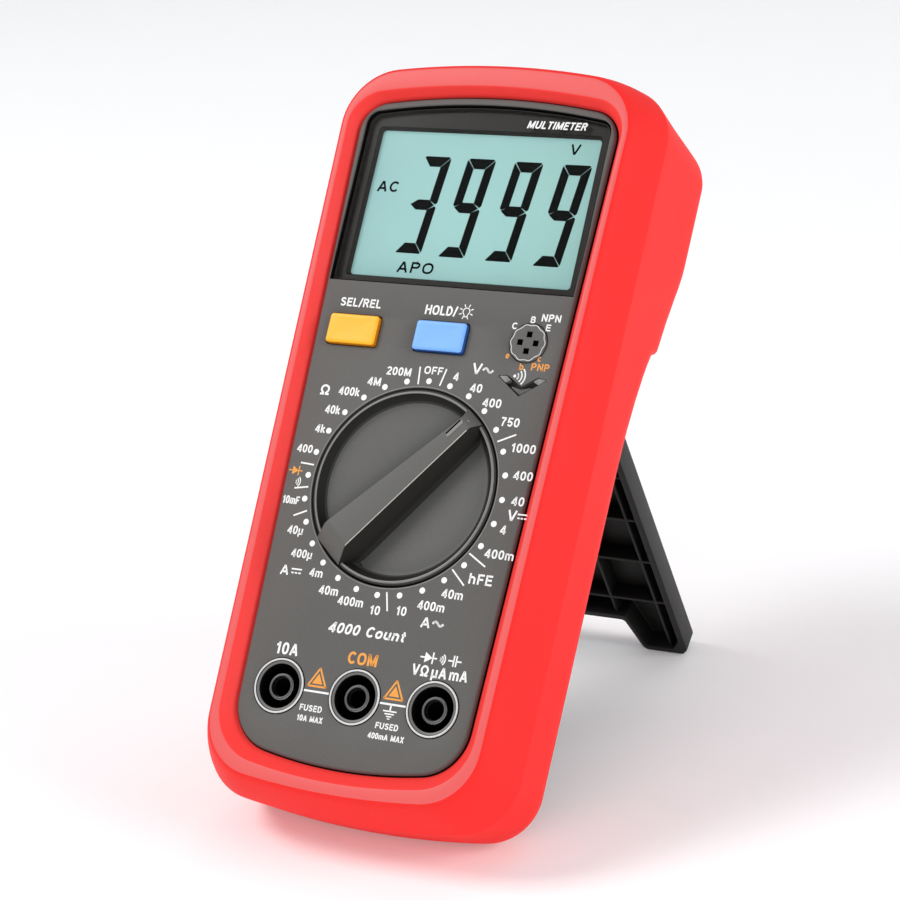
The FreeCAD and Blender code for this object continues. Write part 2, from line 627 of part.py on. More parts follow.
springs, balls = [], []
for sd in (1, -1):
    springs.append(solid(coil(0.75, 0.18, 0.9, 4.6, Vector(0, sd * 13.9, -7.2), Rotation(Vector(1, 0, 0), -90 * sd)), "Coil"))
    ball = doc.addObject("Part::Sphere", fresh("Ball"))
    bind(ball, "Radius", 0.95)
    put(ball, 0.0, sd * 20.1, -7.2)
    balls.append(ball)
detent_springs = group(*springs)
detent_balls = group(*balls)

wipers = []
for k, (rad, ang) in enumerate([(9.5, 20), (12.0, 50), (14.5, 130), (17.0, 200), (10.5, 250), (15.5, 320)]):
    a = math.radians(ang)
    strip = doc.addObject("Part::Box", fresh("Wiper"))
    bind(strip, "Length", 5.6)
    bind(strip, "Width", 1.3)
    bind(strip, "Height", 0.3)
    strip.Placement = Placement(Vector(rad * math.cos(a), rad * math.sin(a), -8.32), Rotation(Vector(0, 0, 1), ang + 90))
    bump = doc.addObject("Part::Cylinder", fresh("Bump"))
    bind(bump, "Radius", 0.55)
    bind(bump, "Height", 0.72)
    ca, sa = math.cos(a + math.pi / 2), math.sin(a + math.pi / 2)
    px = rad * math.cos(a) + 5.0 * ca - 0.65 * sa
    pyy = rad * math.sin(a) + 5.0 * sa + 0.65 * ca
    bump.Placement = Placement(Vector(px, pyy, -8.94), Rotation())
    wipers.append(fuse(strip, bump))
wiper_contacts = group(*wipers)

# ---------------------------------------------------------------- keys


def key(at):
    b2 = body()
    w2, h2, y2 = q("keyWide"), q("keyHigh"), q("keyRow")
    s2 = sketch(b2, "XY_Plane", -3.3)
    poly(s2, rect(at - w2 / 2, y2 - h2 / 2, at + w2 / 2, y2 + h2 / 2))
    p2 = pad(b2, s2, q("keyUp") + 3.3)
    doc.recompute()
    names = []
    for i2, e2 in enumerate(p2.Shape.Edges, start=1):
        zs = [vv.Z for vv in e2.Vertexes]
        if min(zs) < -3.2 and max(zs) > 0.5:
            names.append("Edge%d" % i2)
    f2 = b2.newObject("PartDesign::Fillet", fresh("Round"))
    f2.Base = (p2, names)
    f2.Radius = 0.9
    b2.Tip = f2
    doc.recompute()
    names = []
    for i2, e2 in enumerate(f2.Shape.Edges, start=1):
        if all(abs(vv.Z - num("keyUp")) < 1e-6 for vv in e2.Vertexes):
            names.append("Edge%d" % i2)
    f3 = b2.newObject("PartDesign::Fillet", fresh("Round"))
    f3.Base = (f2, names)
    f3.Radius = 0.55
    b2.Tip = f3
    s3 = sketch(b2, "XY_Plane", -3.3)
    poly(s3, rect(at - w2 / 2 - 0.9, y2 - h2 / 2 - 0.9, at + w2 / 2 + 0.9, y2 + h2 / 2 + 0.9))
    pad(b2, s3, q("keyFlange"))
    s4 = sketch(b2, "XY_Plane", -q("keyStem"))
    ring(s4, at, y2, 2.2)
    pad(b2, s4, q("keyStem") - 3.3)
    return b2


select_button = key(q("selectAt"))
hold_button = key(q("holdAt"))


def dome(at):
    return lathe_at([(0.0, -8.97), (4.2, -8.97), (4.2, -8.4), (3.4, -8.4), (2.3, -6.55), (0.0, -6.55)], at, q("keyRow"))


def lathe_at(pts, x, y):
    b2 = lathe(pts)
    o = group(b2)
    put(o, x, y, 0.0)
    return o


# ---------------------------------------------------------------- transistor socket and sounder
b = body()
s = sketch(b, "XY_Plane", -8.8)
ring(s, q("socketAt"), q("socketRow"), q("socketRad"))
pad(b, s, 9.1)
s = sketch(b, "XY_Plane", 0.5)
sp, sq = q("socketPitch"), q("socketHole") / 2
for ax, ay in ((0, 1), (0, -1), (1, 0), (-1, 0)):
    cx_, cy_ = q("socketAt") + sp * ax, q("socketRow") + sp * ay
    poly(s, rect(cx_ - sq, cy_ - sq, cx_ + sq, cy_ + sq))
pocket(b, s, 6.0)
transistor_socket = b
pins = []
for ax, ay in ((0, 1), (0, -1), (1, 0), (-1, 0)):
    cx_, cy_ = q("socketAt") + sp * ax, q("socketRow") + sp * ay
    pins.append(box(cx_ - 0.5, cy_ - 0.5, -5.45, 1.0, 1.0, 2.2))
socket_contacts = group(*pins)
buzzer = cut(cyl(q("buzzRad"), 3.4, q("buzzAt"), q("buzzRow"), -8.95), cyl(0.8, 2.0, q("buzzAt"), q("buzzRow"), -6.5))

# ---------------------------------------------------------------- input sockets


def shroud(k):
    jr, jw, jn, jm = q("jackRad"), q("jackWell"), q("jackNose"), q("jackMouth")
    jd, rim_ = q("jackDepth"), q("jackRim")
    sr, st_, sl = q("sleeveRad"), q("sleeveTop"), q("sleeveLow")
    b2 = lathe([(jm, -0.9), (jn - 0.2, -0.9), (jn, -1.1), (jn, -14.6), (jw, -14.6), (jw, rim_ - 0.6), (jw + 0.5, rim_ - 0.15),
                (jr - 0.35, rim_ - 0.15), (jr - 0.3, rim_), (jr - 0.1, rim_), (jr, rim_ - 0.2), (jr, -jd), (sr + 0.02, -jd),
                (sr + 0.02, -st_), (jm, -st_)])
    o = group(b2)
    put(o, q("jackPitch") * k, q("jackRow"), 0.0)
    return o


jack_shroud_10a, jack_shroud_com, jack_shroud_v = shroud(-1), shroud(0), shroud(1)


def sleeve(k):
    b2 = lathe([(q("boreRad"), -q("sleeveTop") - 0.03), (q("sleeveRad"), -q("sleeveTop") - 0.03),
                (q("sleeveRad"), -q("sleeveLow")), (q("boreRad"), -q("sleeveLow"))])
    o = group(b2)
    put(o, q("jackPitch") * k, q("jackRow"), 0.0)
    return o


jack_sleeves = group(sleeve(-1), sleeve(0), sleeve(1))

# ---------------------------------------------------------------- fuses, shunt, components
bb_ = -q("boardFront") - q("boardThick")
fz = bb_ - q("fuseDrop")


def fuse_tube(row, length):
    half = length / 2
    return fuse(cyl(q("fuseRad") - 0.15, length - 10.0, -half + 5.0, row, fz, ALONG_X),
                cyl(q("fuseRad"), 6.0, -half, row, fz, ALONG_X), cyl(q("fuseRad"), 6.0, half - 6.0, row, fz, ALONG_X))


fuse_high = fuse_tube(q("bigFuseRow"), q("bigFuseLong"))
fuse_low = fuse_tube(q("smallFuseRow"), q("smallFuseLong"))
clips = []
for row, length in ((q("bigFuseRow"), q("bigFuseLong")), (q("smallFuseRow"), q("smallFuseLong"))):
    for sd in (-1, 1):
        start = (length / 2 - 5.6) if sd > 0 else (-(length / 2) + 0.6)
        fr, ct = q("fuseRad") + 0.03, q("clipThick")
        ringo = cut(cyl(fr + ct, q("clipWide"), start, row, fz, ALONG_X),
                    cyl(fr, q("clipWide") + 2.0, start - 1.0, row, fz, ALONG_X),
                    box(start - 1.0, row - 2.0, fz - 5.0, q("clipWide") + 2.0, 4.0, 4.0))
        foot = box(start + 1.5, row - 1.0, fz + fr + 0.05, 2.0, 2.0, q("fuseDrop") - fr - 0.07)
        clips.append(fuse(ringo, foot))
fuse_clips = group(*clips)

# thick bent resistance wire between the high-current socket and common
r_w = 0.8
yw = -28.0
p = [Vector(-17, yw, -10.7), Vector(-17, yw, -13.5), Vector(-15, yw, -15.5), Vector(-4, yw, -15.5), Vector(-2, yw, -13.5), Vector(-2, yw, -10.7)]
c45 = 2.0 * (1 - math.sqrt(0.5))
path = Part.Wire([
    Part.LineSegment(p[0], p[1]).toShape(),
    Part.Arc(p[1], Vector(-17 + c45, yw, -15.5 + c45), p[2]).toShape(),
    Part.LineSegment(p[2], p[3]).toShape(),
    Part.Arc(p[3], Vector(-2 - c45, yw, -15.5 + c45), p[4]).toShape(),
    Part.LineSegment(p[4], p[5]).toShape()])
shunt_wire = solid(path.makePipeShell([Part.Wire(Part.makeCircle(r_w, p[0], Vector(0, 0, 1)))], True, False), "Wire")

# converter chip: body with four rows of leads
chip = [box(-7.0, 13.0, bb_ - 1.9, 14.0, 14.0, 1.6)]
for k in range(10):
    off = -5.8 + 1.29 * k
    chip.append(box(-8.4, 19.8 + off, bb_ - 0.75, 1.6, 0.5, 0.7))
    chip.append(box(6.8, 19.8 + off, bb_ - 0.75, 1.6, 0.5, 0.7))
    chip.append(box(off - 0.2, 11.6, bb_ - 0.75, 0.5, 1.6, 0.7))
    chip.append(box(off - 0.2, 26.8, bb_ - 0.75, 0.5, 1.6, 0.7))
main_chip = fuse(*chip)
capacitors = group(cyl(3.1, 7.0, -20.0, 24.0, bb_ - 7.05), cyl(3.1, 7.0, -20.0, 15.5, bb_ - 7.05), cyl(2.4, 6.0, 20.5, 26.0, bb_ - 6.05))
ptc_discs = group(cyl(4.0, 2.6, 17.0, -24.0, bb_ - 2.7), cyl(4.0, 2.6, 26.0, -24.0, bb_ - 2.7))
res = []
for k in range(5):
    yy = -8.0 + 3.4 * k
    res.append(fuse(cyl(1.1, 7.0, -28.0, yy, bb_ - 1.3, ALONG_X), cyl(0.3, 12.0, -30.5, yy, bb_ - 1.3, ALONG_X)))
resistors = group(*res)
range_relays = fuse(box(12.0, -4.0, bb_ - 5.3, 11.0, 7.5, 5.2), box(12.0, 5.5, bb_ - 5.3, 11.0, 7.5, 5.2), box(16.5, 3.2, bb_ - 5.3, 2.0, 2.6, 3.0))

# ---------------------------------------------------------------- battery
cl, cw, cth = q("cellLong"), q("cellWide"), q("cellThick")
c_low, c_back = q("cellLow"), q("cellBack")
cell = box(-(cl / 2) - 1.0, c_low, -c_back, cl, cw, cth)
fl = doc.addObject("Part::Fillet", fresh("CellRound"))
fl.Base = cell
doc.recompute()
long_edges = []
for i, e in enumerate(cell.Shape.Edges, start=1):
    ends = [v.Point for v in e.Vertexes]
    if abs(ends[0].x - ends[1].x) > 5:
        long_edges.append((i, 2.0, 2.0))
fl.Edges = long_edges
mid_z = -c_back + cth / 2
battery_9v = fuse(fl, cyl(2.9, 2.2, cl / 2 - 1.05, c_low + cw / 2 - 6.35, mid_z, ALONG_X),
                  cyl(3.7, 2.2, cl / 2 - 1.05, c_low + cw / 2 + 6.35, mid_z, ALONG_X))
contact_plates = group(box(cl / 2 + 1.25, c_low + 3.4, mid_z - 4.5, 0.5, 7.0, 12.0), box(cl / 2 + 1.25, c_low + 15.0, mid_z - 4.5, 0.5, 8.4, 12.0))
doc.recompute()

cov = prism_xy(rect(-ch, c0, ch, c1), -DEEP + 3.1, num("coverThick"))
cov = cov.makeFillet(1.6, [e for e in cov.Edges if abs(e.Vertexes[0].Z - e.Vertexes[-1].Z) > 1.0])
cov = cov.common(case_outer)
for k in range(6):
    yy = 80.0 + 1.5 * k
    cov = cov.cut(block(-9.0, yy, -DEEP + 2, 9.0, yy + 0.7, -DEEP + 3.55))
cov = cov.cut(post(1.45, -60, 0, 0, c0 + 2.6)).cut(post(2.4, -60, -DEEP + 4.3, 0, c0 + 2.6))
battery_cover = solid(cov, "Door")

# ---------------------------------------------------------------- screws


def screw(x, y, z_head, length, head=None):
    """Pan-head screw, head at z_head towards the back, cross recess."""
    hr = head or num("screwHead")
    sr = num("screwRad") - 0.2
    sh = post(hr, z_head, z_head + 1.2, x, y).fuse(post(sr, z_head + 1.2, z_head + 1.2 + length, x, y))
    sh = sh.cut(block(x - hr * 0.62, y - 0.28, z_head - 1, x + hr * 0.62, y + 0.28, z_head + 0.7))
    sh = sh.cut(block(x - 0.28, y - hr * 0.62, z_head - 1, x + 0.28, y + hr * 0.62, z_head + 0.7))
    return solid(sh, "Screw")


# ---------------------------------------------------------------- stand
# drawn folded: head at the origin, reaching down -Y, outer face at -Z
ht = num("standThick") / 2
reach, sw_, skn = num("standReach"), num("standWall"), num("standSkin")
hf = num("standHalf")
side = Part.Face(Part.Wire([
    Part.Arc(Vector(-hf, 0, ht), Vector(-hf, ht, 0), Vector(-hf, 0, -ht)).toShape(),
    Part.LineSegment(Vector(-hf, 0, -ht), Vector(-hf, -reach - 1.4, -ht)).toShape(),
    Part.LineSegment(Vector(-hf, -reach - 1.4, -ht), Vector(-hf, -reach, ht)).toShape(),
    Part.LineSegment(Vector(-hf, -reach, ht), Vector(-hf, 0, ht)).toShape()])).extrude(Vector(2 * hf, 0, 0))
ah, ar = num("archHalf"), num("archReach")
arch = prism_xy([(-ah, -ar), (ah, -ar), (ah + 3.4, -reach - 3), (-ah - 3.4, -reach - 3)], -10, 20)
corner_l = prism_xy([(-hf - 1, -reach + 3.4), (-hf + 0.0, -reach + 3.4), (-hf + 3.0, -reach - 3), (-hf - 1, -reach - 3)], -10, 20)
corner_r = prism_xy([(hf + 1, -reach + 3.4), (hf, -reach + 3.4), (hf - 3.0, -reach - 3), (hf + 1, -reach - 3)], -10, 20)
st = side.cut(arch).cut(corner_l).cut(corner_r)
for sd in (-1, 1):
    wedge = [Vector(sd * hf, 10, ht + 0.02), Vector(sd * (hf - num("standDraft")), 10, -ht - 0.1),
             Vector(sd * (hf + 2), 10, -ht - 0.1), Vector(sd * (hf + 2), 10, ht + 0.02)]
    st = st.cut(Part.Face(Part.makePolygon(wedge + [wedge[0]])).extrude(Vector(0, -reach - 20, 0)))
hollow_pts = [(-hf + sw_, -5.6), (hf - sw_, -5.6), (hf - sw_, -reach + 2.6), (hf - sw_ - 1.6, -reach + sw_),
              (ah + 3.4 + sw_ - 0.4, -reach + sw_), (ah + sw_, -ar + sw_ + 0.2), (-ah - sw_, -ar + sw_ + 0.2),
              (-ah - 3.4 - sw_ + 0.4, -reach + sw_), (-hf + sw_ + 1.6, -reach + sw_), (-hf + sw_, -reach + 2.6)]
hollow = prism_xy(hollow_pts, -ht + skn, 20)
rt_ = num("ribThick") / 2
pitch = num("ribPitch")
for k in range(1, 5):
    yy = -9.6 - pitch * k
    hollow = hollow.cut(block(-hf, yy - rt_, -10, hf, yy + rt_, ht - 0.7))
for xx in (-26.7, -15.0, -5.0, 5.0, 15.0, 26.7):
    hollow = hollow.cut(block(xx - rt_, -reach - 2, -10, xx + rt_, 0, ht - 0.7))
st = st.cut(hollow)
for sd in (-1, 1):
    x0 = num("pinIn") if sd > 0 else -hf - 1
    st = st.cut(Part.makeCylinder(num("pinRad"), hf + 1 - num("pinIn"), Vector(x0, 0, 0), Vector(1, 0, 0)))
stand = solid(st.removeSplitter(), "Stand")
stand_pins = group(
    solid(Part.makeCylinder(num("pinRad"), num("pinOut") - num("pinIn") - 0.1, Vector(num("pinIn") + 0.05, 0, 0), Vector(1, 0, 0)), "Pin"),
    solid(Part.makeCylinder(num("pinRad"), num("pinOut") - num("pinIn") - 0.1, Vector(-num("pinOut") + 0.05, 0, 0), Vector(1, 0, 0)), "Pin"))

case_screws = group(*[screw(tx, ty, -20.9 + 0.0, 12.0, 2.3) for tx, ty in TOWERS])
pcb_screws = group(*[screw(x, y, -11.85, 4.5, 2.0) for x, y in BOARD_FIX])
battery_screw = screw(0, c0 + 2.6, -DEEP + 3.05, 6.0, 2.2)

select_dome = dome(q("selectAt"))
hold_dome = dome(q("holdAt"))

NODES = {
    "holster": holster, "front_case": front_case, "rear_case": rear_case, "lcd_window": lcd_window,
    "lcd_glass": lcd_glass, "lcd_frame": lcd_frame, "lcd_backlight": lcd_backlight, "zebra_strips": zebra_strips,
    "main_pcb": main_pcb, "dial_knob": dial_knob, "switch_rotor": switch_rotor, "wiper_contacts": wiper_contacts,
    "detent_balls": detent_balls, "detent_springs": detent_springs,
    "select_button": select_button, "hold_button": hold_button, "select_dome": select_dome, "hold_dome": hold_dome,
    "transistor_socket": transistor_socket, "socket_contacts": socket_contacts, "buzzer": buzzer,
    "jack_shroud_10a": jack_shroud_10a, "jack_shroud_com": jack_shroud_com, "jack_shroud_v": jack_shroud_v,
    "jack_sleeves": jack_sleeves, "fuse_high": fuse_high, "fuse_low": fuse_low, "fuse_clips": fuse_clips,
    "shunt_wire": shunt_wire, "main_chip": main_chip, "capacitors": capacitors, "ptc_discs": ptc_discs,
    "resistors": resistors, "range_relays": range_relays, "battery_9v": battery_9v, "contact_plates": contact_plates,
    "battery_cover": battery_cover, "battery_screw": battery_screw, "case_screws": case_screws,
    "pcb_screws": pcb_screws, "stand": stand, "stand_pins": stand_pins,
}
DIAL = ("dial_knob", "switch_rotor", "wiper_contacts", "detent_balls", "detent_springs")
STAND = ("stand", "stand_pins")

lean = Placement(Vector(0, 0, 0), Rotation(Vector(1, 0, 0), num("faceTilt")))
turn = Placement(Vector(0, 0, 0), Rotation(Vector(0, 0, 1), -num("pointerTurn")))
swing = Placement(Vector(0, num("pivotRow"), -num("pivotBack")), Rotation(Vector(1, 0, 0), num("standOpen")))
doc.recompute()

for name, obj in NODES.items():
    own = obj.Placement
    if name in DIAL:
        own = turn.multiply(own)
    if name in STAND:
        own = swing.multiply(own)
    obj.setExpression("Placement.Base.x", None)
    obj.setExpression("Placement.Base.y", None)
    obj.setExpression("Placement.Base.z", None)
    obj.Placement = lean.multiply(own)
    obj.Label = name
doc.recompute()

box_all = FreeCAD.BoundBox()
for obj in NODES.values():
    box_all.add(obj.Shape.optimalBoundingBox())
shift = Vector(-(box_all.XMin + box_all.XMax) / 2, -(box_all.YMin + box_all.YMax) / 2, -box_all.ZMin)
for obj in NODES.values():
    pl_ = obj.Placement
    pl_.Base = pl_.Base + shift
    obj.Placement = pl_
doc.recompute()

bad = [o.Name for o in doc.Objects if "Invalid" in o.State or "Error" in o.State]
if bad:
    raise RuntimeError("failed objects: %s" % bad)
for name, obj in NODES.items():
    shp = obj.Shape
    if shp.isNull() or not shp.isValid() or not shp.Solids:
        raise RuntimeError("bad shape: %s" % name)

os.makedirs("parts", exist_ok=True)
for name, obj in NODES.items():
    obj.Shape.exportStep("parts/%s.step" % name)

print("shift", [round(c, 5) for c in shift])
print("box", [round(c, 3) for c in (box_all.XLength, box_all.YLength, box_all.ZLength)])
print("nodes", len(NODES), "solids", sum(len(o.Shape.Solids) for o in NODES.values()))
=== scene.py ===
import bpy, bmesh, math, json
from mathutils import Matrix, Vector
from mathutils.geometry import delaunay_2d_cdt

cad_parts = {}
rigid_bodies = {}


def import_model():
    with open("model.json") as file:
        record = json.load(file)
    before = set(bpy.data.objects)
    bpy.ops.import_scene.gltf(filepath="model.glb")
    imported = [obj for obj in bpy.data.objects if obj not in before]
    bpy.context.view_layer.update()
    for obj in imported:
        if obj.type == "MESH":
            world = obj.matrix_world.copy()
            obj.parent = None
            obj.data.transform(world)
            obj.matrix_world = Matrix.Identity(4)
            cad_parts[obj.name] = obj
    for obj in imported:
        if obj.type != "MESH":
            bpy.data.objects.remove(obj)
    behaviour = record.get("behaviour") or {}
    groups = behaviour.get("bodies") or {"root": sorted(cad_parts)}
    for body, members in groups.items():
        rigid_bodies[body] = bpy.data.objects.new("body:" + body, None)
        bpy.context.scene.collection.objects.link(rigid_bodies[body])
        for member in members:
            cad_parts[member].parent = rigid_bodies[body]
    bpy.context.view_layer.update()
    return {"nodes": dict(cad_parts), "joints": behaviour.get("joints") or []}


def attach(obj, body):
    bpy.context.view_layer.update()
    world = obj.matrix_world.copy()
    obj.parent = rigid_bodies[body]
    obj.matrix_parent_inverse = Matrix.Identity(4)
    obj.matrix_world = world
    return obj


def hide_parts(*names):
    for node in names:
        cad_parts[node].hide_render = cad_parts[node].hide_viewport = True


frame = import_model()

NODE = frame["nodes"]
JOINT = {j["name"]: j for j in frame["joints"]}
MM = 0.001

# ------------------------------------------------------------------ frames
O = Vector(JOINT["dial_turn"]["pos_m"])
W = Vector(JOINT["dial_turn"]["axis"]).normalized()
U = Vector((1.0, 0.0, 0.0))
V = W.cross(U)


def frame_of(o, x, y, z):
    return Matrix(((x.x * MM, y.x * MM, z.x * MM, o.x), (x.y * MM, y.y * MM, z.y * MM, o.y),
                   (x.z * MM, y.z * MM, z.z * MM, o.z), (0, 0, 0, 1)))


FACE = frame_of(O, U, V, W)
tk = math.radians(38.571)
PX = U * math.cos(tk) - V * math.sin(tk)
SY = U * math.sin(tk) + V * math.cos(tk)
KNOB = frame_of(O, PX, SY, W)
ts = math.radians(62.74)
P0 = Vector(JOINT["stand_fold"]["pos_m"])
STAND = frame_of(P0, U, V * math.cos(ts) + W * math.sin(ts), W * math.cos(ts) - V * math.sin(ts))

# ------------------------------------------------------------------ materials


def srgb(r, g, b):
    def c(x):
        x /= 255.0
        return x / 12.92 if x <= 0.04045 else ((x + 0.055) / 1.055) ** 2.4
    return (c(r), c(g), c(b), 1.0)


def material(name, col, rough=0.5, grain=0.0, grain_scale=3500.0, speck=0.06, vary=0.05, metal=0.0, spec=0.5,
             coat=0.0, sheen=0.0, edge=0.0, edge_col=None, emit=0.0, bevel=0.0, sss=0.0, rough_var=0.08, scratch=0.0,
             trans=0.0, ior=1.46, painted_shade=0.0, painted_shade_mm=5.0):
    """Moulded or machined surface: fine grain in bump and colour, slow colour drift, edges lightened as rubbed wear
    and painted highlight, crevices darkened as painted shade.
    """
    m = bpy.data.materials.new(name)
    m.use_nodes = True
    nt = m.node_tree
    for n in list(nt.nodes):
        nt.nodes.remove(n)
    N = nt.nodes.new
    L = nt.links.new
    out = N("ShaderNodeOutputMaterial")
    b = N("ShaderNodeBsdfPrincipled")
    L(b.outputs[0], out.inputs[0])
    tc = N("ShaderNodeTexCoord")
    big = N("ShaderNodeTexNoise")
    big.inputs["Scale"].default_value = 45.0
    big.inputs["Detail"].default_value = 3.0
    L(tc.outputs["Object"], big.inputs["Vector"])
    fine = N("ShaderNodeTexNoise")
    fine.inputs["Scale"].default_value = grain_scale
    fine.inputs["Detail"].default_value = 4.0
    fine.inputs["Roughness"].default_value = 0.62
    L(tc.outputs["Object"], fine.inputs["Vector"])
    dark = tuple(c * (1 - vary) for c in col[:3]) + (1,)
    lite = tuple(min(1.0, c * (1 + vary)) for c in col[:3]) + (1,)
    mix = N("ShaderNodeMix")
    mix.data_type = "RGBA"
    mix.inputs[6].default_value = dark
    mix.inputs[7].default_value = lite
    L(big.outputs["Fac"], mix.inputs[0])
    last = mix.outputs[2]
    if speck:
        ramp = N("ShaderNodeMapRange")
        ramp.inputs["From Min"].default_value = 0.3
        ramp.inputs["From Max"].default_value = 0.7
        ramp.inputs["To Min"].default_value = 1 - speck
        ramp.inputs["To Max"].default_value = 1 + speck
        L(fine.outputs["Fac"], ramp.inputs["Value"])
        hsv = N("ShaderNodeHueSaturation")
        L(ramp.outputs[0], hsv.inputs["Value"])
        L(last, hsv.inputs["Color"])
        last = hsv.outputs[0]
    normal = None
    if bevel:
        bv = N("ShaderNodeBevel")
        bv.samples = 4
        bv.inputs["Radius"].default_value = bevel * MM
        normal = bv.outputs[0]
    # lightens convex and concave edges found by the bevel normal: rubbed wear and painted highlight
    if edge:
        be = N("ShaderNodeBevel")
        be.samples = 6
        be.inputs["Radius"].default_value = 0.45 * MM
        geo = N("ShaderNodeNewGeometry")
        dot = N("ShaderNodeVectorMath")
        dot.operation = "DOT_PRODUCT"
        L(be.outputs[0], dot.inputs[0])
        L(geo.outputs["Normal"], dot.inputs[1])
        mr = N("ShaderNodeMapRange")
        mr.inputs["From Min"].default_value = 0.985
        mr.inputs["From Max"].default_value = 0.86
        mr.inputs["To Min"].default_value = 0.0
        mr.inputs["To Max"].default_value = edge
        L(dot.outputs["Value"], mr.inputs["Value"])
        me = N("ShaderNodeMix")
        me.data_type = "RGBA"
        me.inputs[7].default_value = edge_col or tuple(min(1.0, c * 1.7 + 0.02) for c in col[:3]) + (1,)
        L(mr.outputs[0], me.inputs[0])
        L(last, me.inputs[6])
        last = me.outputs[2]
    # painted shade: ambient occlusion darkens the colour in crevices and recesses
    if painted_shade:
        ao = N("ShaderNodeAmbientOcclusion")
        ao.samples = 6
        ao.inputs["Distance"].default_value = painted_shade_mm * MM
        pw = N("ShaderNodeMath")
        pw.operation = "POWER"
        pw.inputs[1].default_value = 1.6
        L(ao.outputs["AO"], pw.inputs[0])
        cr = N("ShaderNodeMapRange")
        cr.inputs["To Min"].default_value = 1.0 - painted_shade
        cr.inputs["To Max"].default_value = 1.0
        L(pw.outputs[0], cr.inputs["Value"])
        ch = N("ShaderNodeHueSaturation")
        L(cr.outputs[0], ch.inputs["Value"])
        L(last, ch.inputs["Color"])
        last = ch.outputs[0]
    L(last, b.inputs["Base Color"])
    rr = N("ShaderNodeMapRange")
    rr.inputs["To Min"].default_value = max(0.02, rough - rough_var)
    rr.inputs["To Max"].default_value = min(1.0, rough + rough_var)
    L(big.outputs["Fac"], rr.inputs["Value"])
    L(rr.outputs[0], b.inputs["Roughness"])
    b.inputs["Metallic"].default_value = metal
    b.inputs["Specular IOR Level"].default_value = spec
    b.inputs["IOR"].default_value = ior
    b.inputs["Coat Weight"].default_value = coat
    b.inputs["Coat Roughness"].default_value = 0.12
    b.inputs["Sheen Weight"].default_value = sheen
    b.inputs["Sheen Roughness"].default_value = 0.4
    if trans:
        b.inputs["Transmission Weight"].default_value = trans
    if sss:
        b.inputs["Subsurface Weight"].default_value = sss
        b.inputs["Subsurface Radius"].default_value = (0.003, 0.0012, 0.0008)
        b.inputs["Subsurface Scale"].default_value = 0.5
    if emit:
        L(last, b.inputs["Emission Color"])
        b.inputs["Emission Strength"].default_value = emit
    src = fine.outputs["Fac"]
    if scratch:
        mp = N("ShaderNodeMapping")
        mp.inputs["Scale"].default_value = (40, 2600, 2600)
        L(tc.outputs["Object"], mp.inputs["Vector"])
        sc = N("ShaderNodeTexNoise")
        sc.inputs["Scale"].default_value = 1.0
        L(mp.outputs[0], sc.inputs["Vector"])
        src = sc.outputs["Fac"]
        grain = max(grain, scratch)
    if grain:
        bump = N("ShaderNodeBump")
        bump.inputs["Strength"].default_value = grain
        bump.inputs["Distance"].default_value = 0.00012
        L(src, bump.inputs["Height"])
        if normal is not None:
            L(normal, bump.inputs["Normal"])
        normal = bump.outputs[0]
    if normal is not None:
        L(normal, b.inputs["Normal"])
    return m


RED = material("red_rubber", srgb(240, 43, 40), rough=0.55, grain=0.16, grain_scale=2600, speck=0.025, vary=0.03, spec=0.16, sss=0.03)
# painted light: a lighter copy of the red rubber for the lip's inner slope, which the lamps leave in shade
RED_IN_PAINTED_LIGHT = material("red_rubber_inner_painted_light", srgb(252, 62, 58), rough=0.5, grain=0.12, grain_scale=2600, speck=0.02, vary=0.02, spec=0.25)
# painted highlight: a pinker copy of the red rubber for the flat band on top of the lip
RED_LIP_HIGHLIGHT = material("red_rubber_lip_painted_highlight", srgb(231, 94, 92), rough=0.46, grain=0.10, grain_scale=2600, speck=0.02, vary=0.02, spec=0.3)
# painted shade: the panel grey is darkened in recesses by ambient occlusion
PANEL_M = material("grey_panel", srgb(97, 95, 92), rough=0.55, grain=0.42, grain_scale=4200, speck=0.09, vary=0.03, spec=0.25, painted_shade=0.12, painted_shade_mm=2.5)
# painted highlight: a lighter copy of the panel grey for raised beads, the sounder leaves and the pointer's rim and
# pip
BEAD_HIGHLIGHT_M = material("panel_bead_painted_highlight", srgb(128, 126, 123), rough=0.42, grain=0.2, grain_scale=4200, speck=0.05, vary=0.03, spec=0.5)
# painted shade: near-black for the panel's side walls, its hole walls and the pointer slot, where the gaps fall in
# shade
GAP_SHADE = material("gap_painted_shade", srgb(16, 14, 14), rough=0.9, grain=0.2, speck=0.05, spec=0.1)
# painted shade: the knob grey is darkened in the dish and along the grip by ambient occlusion
KNOB_M = material("knob_grey", srgb(96, 95, 92), rough=0.5, grain=0.34, grain_scale=4200, speck=0.08, vary=0.03, spec=0.3, painted_shade=0.85, painted_shade_mm=5.5)
# painted shade: near-black copy of the knob grey for the rim's inner cone and the grip's right wall, darkened further
# by ambient occlusion
KNOB_WALL_SHADE = material("knob_wall_painted_shade", srgb(36, 35, 33), rough=0.6, grain=0.3, grain_scale=4200, speck=0.07, vary=0.05, spec=0.2, painted_shade=0.7, painted_shade_mm=4.0)
# painted shade: dark copy of the grey for the dial well wall, the knob's outer shoulder, the chevron floor and the
# steps in the input sockets
WELL_SHADE_M = material("well_painted_shade", srgb(58, 57, 55), rough=0.6, grain=0.2, grain_scale=4200, speck=0.05, vary=0.04, spec=0.15)
# painted highlight: pale line along the grip's right top edge
GRIP_EDGE_HIGHLIGHT = material("knob_edge_painted_highlight", srgb(186, 186, 178), rough=0.4, grain=0.1, grain_scale=4200, speck=0.03, vary=0.03, spec=0.4)
